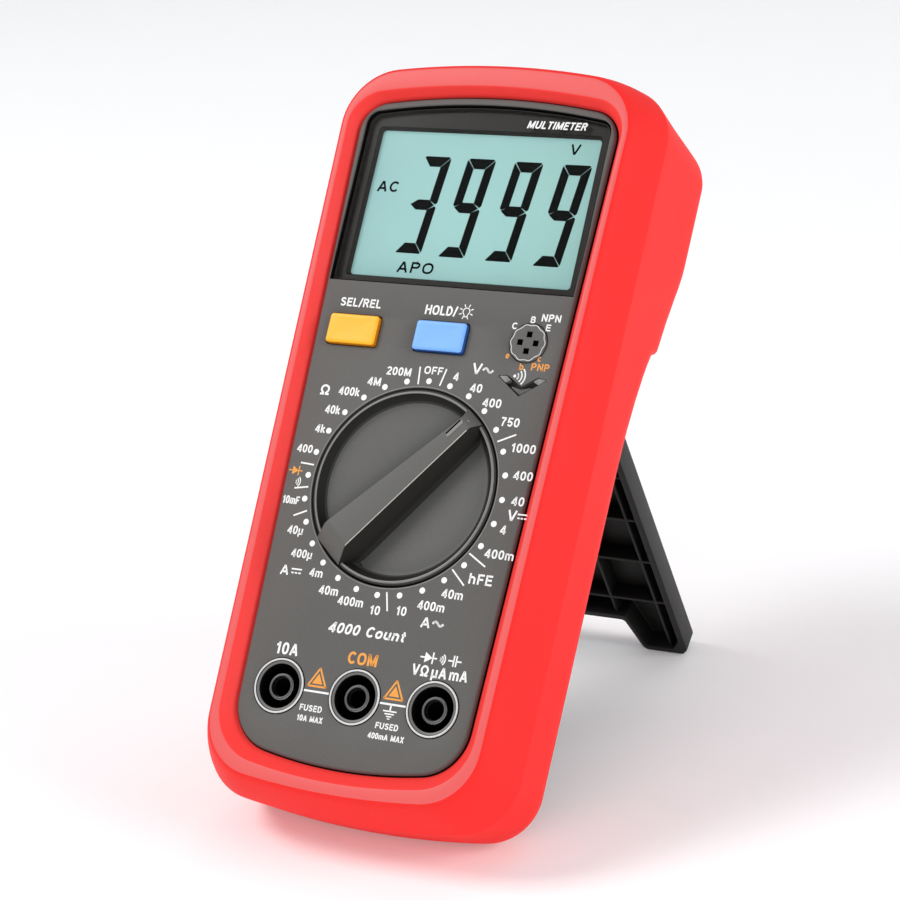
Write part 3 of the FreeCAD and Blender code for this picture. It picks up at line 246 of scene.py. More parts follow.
# painted highlight: lighter copy of the knob grey for the top of the knob's rim
KNOB_RIM_HIGHLIGHT = material("knob_rim_painted_highlight", srgb(126, 125, 122), rough=0.38, grain=0.2, grain_scale=4200, speck=0.05, vary=0.03, spec=0.5)
LENS_B = material("lens_border", srgb(46, 42, 40), rough=0.35, grain=0.02, speck=0.02, vary=0.03, spec=0.12, rough_var=0.03)
# painted shade: the stand black is darkened between its ribs by ambient occlusion
BLACK = material("black_plastic", srgb(30, 30, 28), rough=0.55, grain=0.42, grain_scale=3600, speck=0.08, vary=0.06, spec=0.32, painted_shade=0.8, painted_shade_mm=6.0)
BLACK_CAD = material("black_plastic_case", srgb(34, 33, 32), rough=0.55, grain=0.45, grain_scale=3600, speck=0.08, vary=0.06, spec=0.35, bevel=0.35)
GLOSS_BLACK = material("gloss_black", srgb(10, 10, 10), rough=0.35, grain=0.04, speck=0.03, vary=0.05, spec=0.25)
# painted shade: darker copies of the key plastics for the keys' skirts and flanges
YELLOW_SIDE_SHADE = material("yellow_key_side_painted_shade", srgb(214, 128, 14), rough=0.4, grain=0.10, grain_scale=3000, speck=0.02, vary=0.03, spec=0.3)
BLUE_SIDE_SHADE = material("blue_key_side_painted_shade", srgb(46, 88, 158), rough=0.4, grain=0.10, grain_scale=3000, speck=0.02, vary=0.03, spec=0.3)
YELLOW = material("yellow_key", srgb(255, 184, 24), rough=0.38, grain=0.10, grain_scale=3000, speck=0.02, vary=0.02, spec=0.5, sss=0.08)
BLUE = material("blue_key", srgb(120, 178, 250), rough=0.38, grain=0.10, grain_scale=3000, speck=0.02, vary=0.02, spec=0.5, sss=0.06)
WHITE = material("white_print", srgb(246, 246, 244), rough=0.5, grain=0.25, grain_scale=5200, speck=0.05, vary=0.02, spec=0.35)
ORANGE = material("orange_print", srgb(238, 160, 70), rough=0.5, grain=0.25, grain_scale=5200, speck=0.05, vary=0.03, spec=0.35)
RING_W = material("ring_white", srgb(214, 214, 212), rough=0.42, grain=0.15, grain_scale=5200, speck=0.03, vary=0.02)
RING_G = material("ring_grey", srgb(104, 102, 100), rough=0.45, grain=0.2, grain_scale=5200, speck=0.04, vary=0.03)
SLEEVE_M = material("sleeve_mouth", srgb(84, 83, 82), rough=0.4, grain=0.1, speck=0.03, vary=0.04)
SEG = material("segment", srgb(5, 7, 7), rough=0.6, speck=0.02, vary=0.02, spec=0.05)
SLEEVE_D = material("sleeve_nickel", srgb(52, 50, 48), rough=0.35, metal=0.9, speck=0.03, vary=0.08, scratch=0.1, bevel=0.1)
BRASS_M = material("brass", srgb(200, 162, 90), rough=0.28, metal=1.0, speck=0.02, vary=0.08, scratch=0.12, bevel=0.1)
STEEL_M = material("steel", srgb(176, 176, 180), rough=0.3, metal=1.0, speck=0.02, vary=0.05, scratch=0.15, bevel=0.12)
DARK_STEEL = material("blackened_steel", srgb(60, 58, 58), rough=0.38, metal=0.9, speck=0.03, vary=0.08, grain=0.2, bevel=0.15)
PCB_M = material("green_board", srgb(20, 92, 48), rough=0.35, grain=0.15, speck=0.1, vary=0.12, coat=0.3, bevel=0.1)
CHIP_M = material("chip_black", srgb(32, 32, 34), rough=0.6, grain=0.3, speck=0.05, bevel=0.1)
CERAMIC_M = material("fuse_ceramic", srgb(228, 224, 214), rough=0.35, grain=0.1, speck=0.03, vary=0.04, bevel=0.15)
CAN_M = material("capacitor_can", srgb(150, 152, 160), rough=0.3, metal=0.8, speck=0.02, vary=0.05, bevel=0.2)
DISC_M = material("protection_disc", srgb(205, 140, 40), rough=0.45, grain=0.3, grain_scale=1800, speck=0.08, vary=0.08, bevel=0.2)
RESIST_M = material("resistor_body", srgb(90, 140, 185), rough=0.4, grain=0.15, speck=0.04, vary=0.08, bevel=0.15)
SILICONE_M = material("silicone", srgb(206, 200, 190), rough=0.6, grain=0.15, speck=0.03, vary=0.05, sss=0.2, bevel=0.15)
ACETAL_M = material("acetal", srgb(226, 224, 214), rough=0.42, grain=0.12, speck=0.03, vary=0.03, sss=0.1, bevel=0.15)
CELL_M = material("battery_jacket", srgb(44, 46, 56), rough=0.3, metal=0.5, speck=0.03, vary=0.2, bevel=0.4)
GUIDE_M = material("light_guide", srgb(222, 232, 232), rough=0.2, speck=0.02, vary=0.03, bevel=0.2)


def lcd_material():
    m = bpy.data.materials.new("display_glass_painted_glow")
    m.use_nodes = True
    nt = m.node_tree
    b = nt.nodes["Principled BSDF"]
    N = nt.nodes.new
    L = nt.links.new
    tc = N("ShaderNodeTexCoord")
    sep = N("ShaderNodeSeparateXYZ")
    L(tc.outputs["Object"], sep.inputs[0])
    n = N("ShaderNodeTexNoise")
    n.inputs["Scale"].default_value = 30.0
    n.inputs["Detail"].default_value = 2.0
    L(tc.outputs["Object"], n.inputs["Vector"])
    grain = N("ShaderNodeTexNoise")
    grain.inputs["Scale"].default_value = 7000.0
    grain.inputs["Detail"].default_value = 2.0
    L(tc.outputs["Object"], grain.inputs["Vector"])
    add = N("ShaderNodeMath")
    add.operation = "MULTIPLY_ADD"
    add.inputs[1].default_value = 6.0
    L(sep.outputs[0], add.inputs[0])
    L(n.outputs["Fac"], add.inputs[2])
    ramp = N("ShaderNodeValToRGB")
    ramp.color_ramp.elements[0].position = 0.25
    ramp.color_ramp.elements[0].color = srgb(160, 200, 200)
    ramp.color_ramp.elements[1].position = 0.8
    ramp.color_ramp.elements[1].color = srgb(167, 209, 204)
    L(add.outputs[0], ramp.inputs[0])
    mr = N("ShaderNodeMapRange")
    mr.inputs["To Min"].default_value = 0.95
    mr.inputs["To Max"].default_value = 1.05
    L(grain.outputs["Fac"], mr.inputs["Value"])
    hsv = N("ShaderNodeHueSaturation")
    L(mr.outputs[0], hsv.inputs["Value"])
    L(ramp.outputs[0], hsv.inputs["Color"])
    L(hsv.outputs[0], b.inputs["Base Color"])
    # painted glow: the display's own colour is fed to emission so it looks lit without a lamp
    L(hsv.outputs[0], b.inputs["Emission Color"])
    b.inputs["Emission Strength"].default_value = 0.12
    b.inputs["Roughness"].default_value = 0.6
    b.inputs["Specular IOR Level"].default_value = 0.1
    return m


LCD_GLOW_M = lcd_material()


def clear_material():
    """Thin clear acrylic: see-through with a soft surface reflection."""
    m = bpy.data.materials.new("clear_window")
    m.use_nodes = True
    nt = m.node_tree
    for n in list(nt.nodes):
        nt.nodes.remove(n)
    N = nt.nodes.new
    L = nt.links.new
    out = N("ShaderNodeOutputMaterial")
    tr = N("ShaderNodeBsdfTransparent")
    tr.inputs[0].default_value = (0.97, 0.98, 0.975, 1)
    gl = N("ShaderNodeBsdfGlossy")
    gl.inputs["Roughness"].default_value = 0.08
    fr = N("ShaderNodeFresnel")
    fr.inputs["IOR"].default_value = 1.35
    tc = N("ShaderNodeTexCoord")
    n = N("ShaderNodeTexNoise")
    n.inputs["Scale"].default_value = 60.0
    L(tc.outputs["Object"], n.inputs["Vector"])
    mr = N("ShaderNodeMapRange")
    mr.inputs["To Min"].default_value = 0.05
    mr.inputs["To Max"].default_value = 0.14
    L(n.outputs["Fac"], mr.inputs["Value"])
    L(mr.outputs[0], gl.inputs["Roughness"])
    mul = N("ShaderNodeMath")
    mul.operation = "MULTIPLY"
    mul.inputs[1].default_value = 0.16
    L(fr.outputs[0], mul.inputs[0])
    mx = N("ShaderNodeMixShader")
    L(mul.outputs[0], mx.inputs[0])
    L(tr.outputs[0], mx.inputs[1])
    L(gl.outputs[0], mx.inputs[2])
    L(mx.outputs[0], out.inputs[0])
    return m


CLEAR = clear_material()

# ------------------------------------------------------------------ mesh tools


def build(name, verts, faces, M, mats, midx=None, body="meter", sharp=32.0, replaces=(), merge=True):
    me = bpy.data.meshes.new(name)
    me.from_pydata([tuple(M @ Vector(v)) for v in verts], [], faces)
    for mt in (mats if isinstance(mats, (list, tuple)) else [mats]):
        me.materials.append(mt)
    if midx:
        me.polygons.foreach_set("material_index", midx)
    bm = bmesh.new()
    bm.from_mesh(me)
    if merge:
        bmesh.ops.remove_doubles(bm, verts=bm.verts, dist=2e-6)
        bmesh.ops.dissolve_degenerate(bm, dist=1e-7, edges=bm.edges)
    loose = [v for v in bm.verts if not v.link_faces]
    if loose:
        bmesh.ops.delete(bm, geom=loose, context="VERTS")
    bmesh.ops.recalc_face_normals(bm, faces=bm.faces)
    lim = math.radians(sharp)
    for f in bm.faces:
        f.smooth = True
    for e in bm.edges:
        e.smooth = not (len(e.link_faces) == 2 and e.calc_face_angle(0) > lim)
    bm.to_mesh(me)
    bm.free()
    o = bpy.data.objects.new(name, me)
    bpy.context.scene.collection.objects.link(o)
    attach(o, body)
    if replaces:
        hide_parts(*replaces)
    return o


class Shell:
    """Collects rings and strips into one mesh."""

    def __init__(self):
        self.v, self.f, self.m = [], [], []

    def ring(self, pts):
        i = len(self.v)
        self.v.extend(pts)
        return list(range(i, i + len(pts)))

    def strip(self, a, b, mat=0, closed=True):
        n = len(a)
        for i in range(n if closed else n - 1):
            j = (i + 1) % n
            self.f.append((a[i], a[j], b[j], b[i]))
            self.m.append(mat)

    def face(self, idx, mat=0):
        self.f.append(tuple(idx))
        self.m.append(mat)

    def cap(self, outer, holes=(), mat=0, lines=(), height=None):
        """Fills the flat (or height(v)) region between the outer ring and the holes."""
        idx = list(outer)
        edges = []
        n = len(outer)
        edges += [(i, (i + 1) % n) for i in range(n)]
        loops = [[(self.v[i][0], self.v[i][1]) for i in outer]]
        for h in holes:
            k = len(idx)
            idx += list(h)
            edges += [(k + i, k + (i + 1) % len(h)) for i in range(len(h))]
            loops.append([(self.v[i][0], self.v[i][1]) for i in h])
        co = [Vector((self.v[i][0], self.v[i][1])) for i in idx]
        for a, b in lines:
            k = len(co)
            co += [Vector(a), Vector(b)]
            edges.append((k, k + 1))
        vs, es, fs, ov, oe, of = delaunay_2d_cdt(co, edges, [], 0, 1e-5)
        w0 = self.v[outer[0]][2]
        remap = []
        for k, p in enumerate(vs):
            src = [s for s in ov[k] if s < len(idx)]
            if src:
                remap.append(idx[src[0]])
            else:
                self.v.append((p.x, p.y, height(p.y) if height else w0))
                remap.append(len(self.v) - 1)
        for f in fs:
            cx = sum(vs[i].x for i in f) / len(f)
            cy = sum(vs[i].y for i in f) / len(f)
            if inside(cx, cy, loops[0]) and not any(inside(cx, cy, lp) for lp in loops[1:]):
                self.f.append(tuple(remap[i] for i in f))
                self.m.append(mat)


def inside(x, y, poly):
    c = False
    j = len(poly) - 1
    for i in range(len(poly)):
        xi, yi = poly[i]
        xj, yj = poly[j]
        if (yi > y) != (yj > y) and x < (xj - xi) * (y - yi) / (yj - yi) + xi:
            c = not c
        j = i
    return c


def circ(cx, cy, r, n=96, w=0.0, a0=0.0):
    return [(cx + r * math.cos(a0 + 2 * math.pi * i / n), cy + r * math.sin(a0 + 2 * math.pi * i / n), w) for i in range(n)]


def rrect(cx, cy, hx, hy, r, w=0.0, n=7, per=1):
    """Rounded rectangle, with `per` pieces on each straight run."""
    r = max(min(r, hx - 1e-3, hy - 1e-3), 1e-3)
    pts = []
    arcs = []
    for sx, sy, a in ((1, 1, 0), (-1, 1, 90), (-1, -1, 180), (1, -1, 270)):
        arcs.append([(cx + sx * (hx - r) + r * math.cos(math.radians(a + 90.0 * i / n)),
                      cy + sy * (hy - r) + r * math.sin(math.radians(a + 90.0 * i / n))) for i in range(n + 1)])
    for k in range(4):
        pts += arcs[k]
        a, b = arcs[k][-1], arcs[(k + 1) % 4][0]
        for i in range(1, per):
            t = i / per
            pts.append((a[0] + (b[0] - a[0]) * t, a[1] + (b[1] - a[1]) * t))
    return [(x, y, w) for x, y in pts]


def rpoly(points, radii, w=0.0, n=5):
    """Closed polygon with each corner rounded."""
    out = []
    m = len(points)
    for i in range(m):
        p = Vector(points[i])
        a = (Vector(points[i - 1]) - p)
        b = (Vector(points[(i + 1) % m]) - p)
        la, lb = a.length, b.length
        a, b = a / la, b / lb
        r = radii[i] if isinstance(radii, (list, tuple)) else radii
        ang = a.angle(b)
        t = min(r / math.tan(ang / 2), 0.49 * la, 0.49 * lb)
        r2 = t * math.tan(ang / 2)
        c = p + (a + b).normalized() * (r2 / math.sin(ang / 2))
        s, e = p + a * t - c, p + b * t - c
        th = s.angle_signed(e)
        for k in range(n + 1):
            q = Matrix.Rotation(-th * k / n, 2) @ s
            out.append((c.x + q.x, c.y + q.y, w))
    return out


def lathe(sh, prof, cx, cy, n=72, mats=None, closed=False):
    """Turns a list of (radius, height) about an axis along +Z."""
    rings = [sh.ring([(cx + r * math.cos(2 * math.pi * i / n), cy + r * math.sin(2 * math.pi * i / n), w) for i in range(n)]) for r, w in prof]
    m = len(rings)
    for k in range(m if closed else m - 1):
        sh.strip(rings[k], rings[(k + 1) % m], (mats[k] if mats else 0))
    return rings


def bevel_box(name, M, x0, y0, z0, x1, y1, z1, r, mat, seg=2):
    bm = bmesh.new()
    vs = [bm.verts.new((x, y, z)) for x in (x0, x1) for y in (y0, y1) for z in (z0, z1)]
    for q in ((0, 1, 3, 2), (4, 6, 7, 5), (0, 4, 5, 1), (2, 3, 7, 6), (0, 2, 6, 4), (1, 5, 7, 3)):
        bm.faces.new([vs[i] for i in q])
    bmesh.ops.recalc_face_normals(bm, faces=bm.faces)
    bmesh.ops.bevel(bm, geom=list(bm.edges), offset=r, segments=seg, profile=0.5, affect="EDGES")
    v = [tuple(x.co) for x in bm.verts]
    bm.verts.index_update()
    f = [tuple(x.index for x in q.verts) for q in bm.faces]
    bm.free()
    return v, f


# ------------------------------------------------------------------ the case outline
SIDE = [70, 66, 64, 61, 58, 55, 51.5, 48.4, 46.2, 45, 44.4, 44.0, 43.6, 43.2, 42.6, 41.4, 40, 37, 34, 31, 27.5, 24, 20, 17, 14, 8, 0,
        -10, -20, -30, -40, -48]


def marks(p):
    hT, hB, vT, vB, RT, RB, rT, rB = p
    ex, ey = (hT - hB) / 120.0, 1.0
    n = math.hypot(ex, ey)
    ex, ey = ex / n, ey / n
    nx, ny = -ey, ex

    def corner(cy, R, r, up):
        qx, qy = hT + nx * r, 75.0 + ny * r
        dx, dy = qx, qy - cy
        b = dx * ex + dy * ey
        c = dx * dx + dy * dy - (R - r) ** 2
        s = -b + math.sqrt(b * b - c) if up else -b - math.sqrt(b * b - c)
        cx, c2 = qx + s * ex, qy + s * ey
        k = R / (R - r)
        return (cx, c2), (cx - nx * r, c2 - ny * r), (cx * k, cy + (c2 - cy) * k)
    return corner(vT - RT, RT, rT, True), corner(vB + RB, RB, rB, False)


def perimeter(p, nc=14, na=22):
    """Points round one outline: right side downwards, bottom, left side, top.  The side rows sit at the same v on every level."""
    (ct, tl, ta), (cb, bl, ba) = marks(p)
    hT, hB, vT, vB, RT, RB, rT, rB = p

    def side(v):
        return hT + (v - 75.0) * (hT - hB) / 120.0

    def arc(c, r, a, b, n):
        aa = math.atan2(a[1] - c[1], a[0] - c[0])
        ab = math.atan2(b[1] - c[1], b[0] - c[0])
        ab = aa + (ab - aa + math.pi) % (2 * math.pi) - math.pi
        return [(c[0] + r * math.cos(aa + (ab - aa) * i / n), c[1] + r * math.sin(aa + (ab - aa) * i / n)) for i in range(n)]
    right = [tl] + [(side(v), v) for v in SIDE]
    right += arc(cb, rB, bl, ba, nc)
    pts = list(right)
    c = (0.0, vB + RB)
    pts += arc(c, RB, ba, (-ba[0], ba[1]), na)
    left = [(-x, y) for x, y in right[1:]]
    cornerL = arc((-cb[0], cb[1]), rB, (-ba[0], ba[1]), (-bl[0], bl[1]), nc)
    pts += cornerL
    pts += [(-bl[0], bl[1])]
    pts += [(-side(v), v) for v in reversed(SIDE)]
    pts += arc((-ct[0], ct[1]), rT, (-tl[0], tl[1]), (-ta[0], ta[1]), nc)
    pts += arc((0.0, vT - RT), RT, (-ta[0], ta[1]), ta, na)
    pts += arc(ct, rT, ta, tl, nc)
    return pts


def lerp(a, b, t):
    return tuple(x + (y - x) * t for x, y in zip(a, b))


def table(levels):
    def f(w):
        if w >= levels[0][0]:
            return levels[0][1:]
        for a, b in zip(levels, levels[1:]):
            if w >= b[0]:
                return lerp(a[1:], b[1:], (a[0] - w) / (a[0] - b[0]))
        return levels[-1][1:]
    return f


def inset(p, d):
    return (p[0] - d, p[1] - d, p[2] - d, p[3] + d, p[4] - d, p[5] - d, max(p[6] - d, 1.2), max(p[7] - d, 1.2))


PANEL = (32.2, 28.75, 91.0, -62.9, 170, 110, 7, 11)
JACKET = table([
    (2.0, 35.6, 33.4, 97.4, -68.6, 190, 190, 13, 13),
    (1.2, 36.5, 34.3, 98.3, -69.5, 190, 190, 13.5, 13.5),
    (-9.0, 40.45, 38.85, 100.15, -73.15, 190, 200, 13, 14),
    (-18.0, 40.05, 38.55, 98.75, -72.95, 190, 200, 12, 12.5),
    (-31.0, 39.5, 37.9, 96.9, -72.6, 190, 200, 10, 12),
    (-39.4, 39.0, 37.4, 95.7, -72.3, 190, 200, 9, 12)])
CASE = table([
    (-1.2, 34.2, 32.0, 95.3, -66.4, 188, 188, 10.5, 10.5),
    (-9.0, 37.4, 35.8, 97.1, -70.1, 188, 198, 10.5, 11),
    (-18.0, 37.0, 35.5, 95.7, -69.9, 188, 198, 9.5, 10)])


def back_depth(v):
    """Depth of the over-jacket's back behind the face along its length."""
    pts = [(-100, 26.5), (14, 26.5), (19, 26.65), (24, 27.0), (31, 28.0), (37, 29.3), (40, 30.2), (42.6, 31.2), (43.2, 31.6),
           (43.6, 32.5), (44.0, 33.5), (44.4, 34.0), (45, 34.2), (46.2, 34.5), (51.5, 35.6), (58, 37.5), (61, 38.5), (64, 39.2), (66, 39.38), (70, 39.4), (200, 39.4)]
    for a, b in zip(pts, pts[1:]):
        if v <= b[0]:
            return a[1] + (b[1] - a[1]) * (v - a[0]) / (b[0] - a[0])
    return 39.4


# ------------------------------------------------------------------ over-jacket
def make_jacket():
    sh = Shell()
    base = perimeter(JACKET(-20.0))
    n = len(base)
    depth = [back_depth(p[1]) for p in base]
    # the top corners and arc keep the full depth, the bottom ones the shallow depth
    cache = {}

    def at(w, ins, table_fn, j):
        key = (round(w, 3), round(ins, 3), table_fn is JACKET)
        if key not in cache:
            cache[key] = perimeter(inset(table_fn(w), ins))
        x, y = cache[key][j]
        return (x, y, w)

    def flat_ring(p, w):
        return sh.ring([(x, y, w) for x, y in perimeter(p)])

    lipP = tuple(a + b for a, b in zip(PANEL, (0.32, 0.32, 0.32, -0.32, 0, 0, 0.32, 0.32)))
    lipT = (34.3, 31.5, 93.0, -66.1, 180, 130, 8.5, 12.5)
    rings = [flat_ring(lipP, -1.05)]
    for t, w in ((0.12, -0.7), (0.55, 0.55), (0.86, 1.45)):
        rings.append(flat_ring(lerp(lipP, lipT, t), w))
    rings.append(flat_ring(lerp(lipP, lipT, 0.97), 1.78))
    rings.append(flat_ring(tuple(a + b for a, b in zip(lipT, (0.12, 0.12, 0.12, -0.12, 0, 0, 0, 0))), 1.95))
    rings.append(flat_ring(tuple(a + b for a, b in zip(lipT, (0.32, 0.32, 0.32, -0.32, 0, 0, 0, 0))), 2.0))
    rings.append(flat_ring((35.35, 33.15, 97.1, -68.35, 190, 190, 13, 13), 2.0))
    lip_mark = len(rings)
    rings.append(flat_ring((35.62, 33.42, 97.42, -68.62, 190, 190, 13, 13), 1.93))
    rings.append(flat_ring((35.88, 33.68, 97.7, -68.9, 190, 190, 13.1, 13.1), 1.74))
    for w in (1.35, 0.4, -1.2, -3.0, -5.0, -7.0, -8.2, -8.7, -9.0, -9.3, -9.8, -11.0, -13.0):
        # a slight crown on the sloping flank
        p = JACKET(w)
        t = max(0.0, min(1.0, (1.2 - w) / 10.2))
        c = 0.38 * math.sin(math.pi * t)
        rings.append(flat_ring(inset(p, -c), w))
    R = 7.0
    side_n, round_n = 5, 9
    for k in range(1, side_n + 1):
        pts = []
        for j in range(n):
            w = -13.0 + (-(depth[j] - R) + 13.0) * k / side_n
            pts.append(at(w, 0.0, JACKET, j))
        rings.append(sh.ring(pts))
    for k in range(1, round_n + 1):
        a = math.pi / 2 * k / round_n
        pts = []
        for j in range(n):
            D = depth[j]
            Ri = 4.3 + (D - 26.5) / 12.9 * 2.0
            w = -(D - R) - R * math.sin(a)
            pts.append(at(w, Ri * (1 - math.cos(a)), JACKET, j))
        rings.append(sh.ring(pts))
    # the inner slope takes the lighter red as painted light and the lip band the pinker red as painted highlight
    for i, (a, b) in enumerate(zip(rings, rings[1:])):
        sh.strip(a, b, 1 if 5 <= i <= lip_mark - 1 else (2 if i < 5 else 0))
    back = rings[-1]
    # windows in the back: stand recess and battery door
    winA = (0.0, -8.1, 32.35, 49.5, 2.6)
    winB = (0.0, 73.0, 27.9, 15.2, 2.2)

    def window(win, off, dz):
        cx, cy, hx, hy, r = win
        return sh.ring([(x, y, -back_depth(y) + dz) for x, y, _ in rrect(cx, cy, hx + off, hy + off, r + off, 0, 6, 44)])

    wins = []
    for win in (winA, winB):
        wr = [window(win, 0.55, 0.0), window(win, 0.2, 0.12), window(win, 0.0, 0.5), window(win, 0.0, 2.85)]
        for a, b in zip(wr, wr[1:]):
            sh.strip(a, b)
        wins.append(wr)
    lines = [((-45, v), (45, v)) for v in (14, 19, 24, 31, 37, 40, 42.6, 43.2, 43.6, 44.0, 44.4, 45, 46.2, 51.5, 58, 61, 64, 66, 70)]
    sh.cap(back, [w[0] for w in wins], 0, lines, lambda v: -back_depth(v))
    # hidden inner skin
    inner = [rings[0]]
    inner.append(flat_ring((34.4, 32.2, 95.6, -66.8, 188, 188, 10.5, 10.5), -1.1))
    inner.append(flat_ring((37.5, 35.9, 97.2, -70.2, 188, 198, 10.6, 11.1), -9.0))
    inner.append(flat_ring((37.3, 35.75, 96.6, -70.15, 188, 198, 10.3, 10.7), -13.0))
    for k in range(1, 5):
        pts = []
        for j in range(n):
            w = -13.0 + (-(depth[j] - 2.85 - 4.0) + 13.0) * k / 4
            pts.append(at(w, 2.95, JACKET, j))
        inner.append(sh.ring(pts))
    for k in range(1, 5):
        a = math.pi / 2 * k / 4
        pts = []
        for j in range(n):
            D = depth[j]
            Ri = 4.3 + (D - 26.5) / 12.9 * 2.0
            pts.append(at(-(D - 2.85 - 4.0) - 4.0 * math.sin(a), 2.95 + (Ri - 2.4) * (1 - math.cos(a)), JACKET, j))
        inner.append(sh.ring(pts))
    for a, b in zip(inner, inner[1:]):
        sh.strip(a, b)
    sh.cap(inner[-1], [w[-1] for w in wins], 0, lines, lambda v: -back_depth(v) + 2.85)
    o = build("over_jacket", sh.v, sh.f, FACE, [RED, RED_LIP_HIGHLIGHT, RED_IN_PAINTED_LIGHT], sh.m, "meter", 40, ("holster",))
    # the rubber rests flat where it meets the floor, and stays within the greatest depth behind
    for p in o.data.vertices:
        if p.co.z < 0.003:
            z = p.co.z - 0.00003
            p.co.z = 0.00003 + (z + math.sqrt(z * z + 4e-8)) / 2
        if p.co.y > 0.064:
            d = 0.06636 - p.co.y
            p.co.y = 0.06636 - (d + math.sqrt(d * d + 1e-8)) / 2
    o.data.update()
    return o


make_jacket()

# ------------------------------------------------------------------ front panel


def lens_loop(hw, v0, v1, R, r, rb, w, nt=24, ns=8, nc=6):
    """Straight bottom and sides, arched top: starts at the bottom right corner and runs anticlockwise."""
    cy = v1 - R
    # top corner circle tangent to the side and inside the arc
    cx = hw - r
    c2 = cy + math.sqrt((R - r) ** 2 - cx * cx)
    k = R / (R - r)
    ta = (cx * k, cy + (c2 - cy) * k)
    pts = [(hw - rb + rb * math.cos(math.radians(-90 + 90 * i / nc)), v0 + rb + rb * math.sin(math.radians(-90 + 90 * i / nc))) for i in range(nc + 1)]
    pts += [(hw, v0 + rb + (c2 - v0 - rb) * i / ns) for i in range(1, ns)]
    a1 = math.atan2(ta[1] - c2, ta[0] - cx)
    pts += [(cx + r * math.cos(a1 * i / nc), c2 + r * math.sin(a1 * i / nc)) for i in range(nc + 1)]
    s = math.atan2(ta[1] - cy, ta[0])
    pts += [(R * math.cos(s + (math.pi - 2 * s) * i / nt), cy + R * math.sin(s + (math.pi - 2 * s) * i / nt)) for i in range(1, nt)]
    pts += [(-cx + r * math.cos(math.pi - a1 + a1 * i / nc), c2 + r * math.sin(math.pi - a1 + a1 * i / nc)) for i in range(nc + 1)]
    pts += [(-hw, c2 + (v0 + rb - c2) * i / ns) for i in range(1, ns)]
    pts += [(-hw + rb + rb * math.cos(math.radians(180 + 90 * i / nc)), v0 + rb + rb * math.sin(math.radians(180 + 90 * i / nc))) for i in range(nc + 1)]
    return [(x, y, w) for x, y in pts]


CHEV = [(16.6, 27.0), (22.8, 22.6), (29.0, 26.9), (26.4, 27.15), (22.9, 24.9), (19.2, 27.2)]
JACKS = [(-19.0, -47.1), (0.0, -47.1), (19.0, -47.1)]
KEYS = {"select": (-21.25, 34.3), "hold": (0.95, 34.3)}
SOCK = (22.4, 34.7)


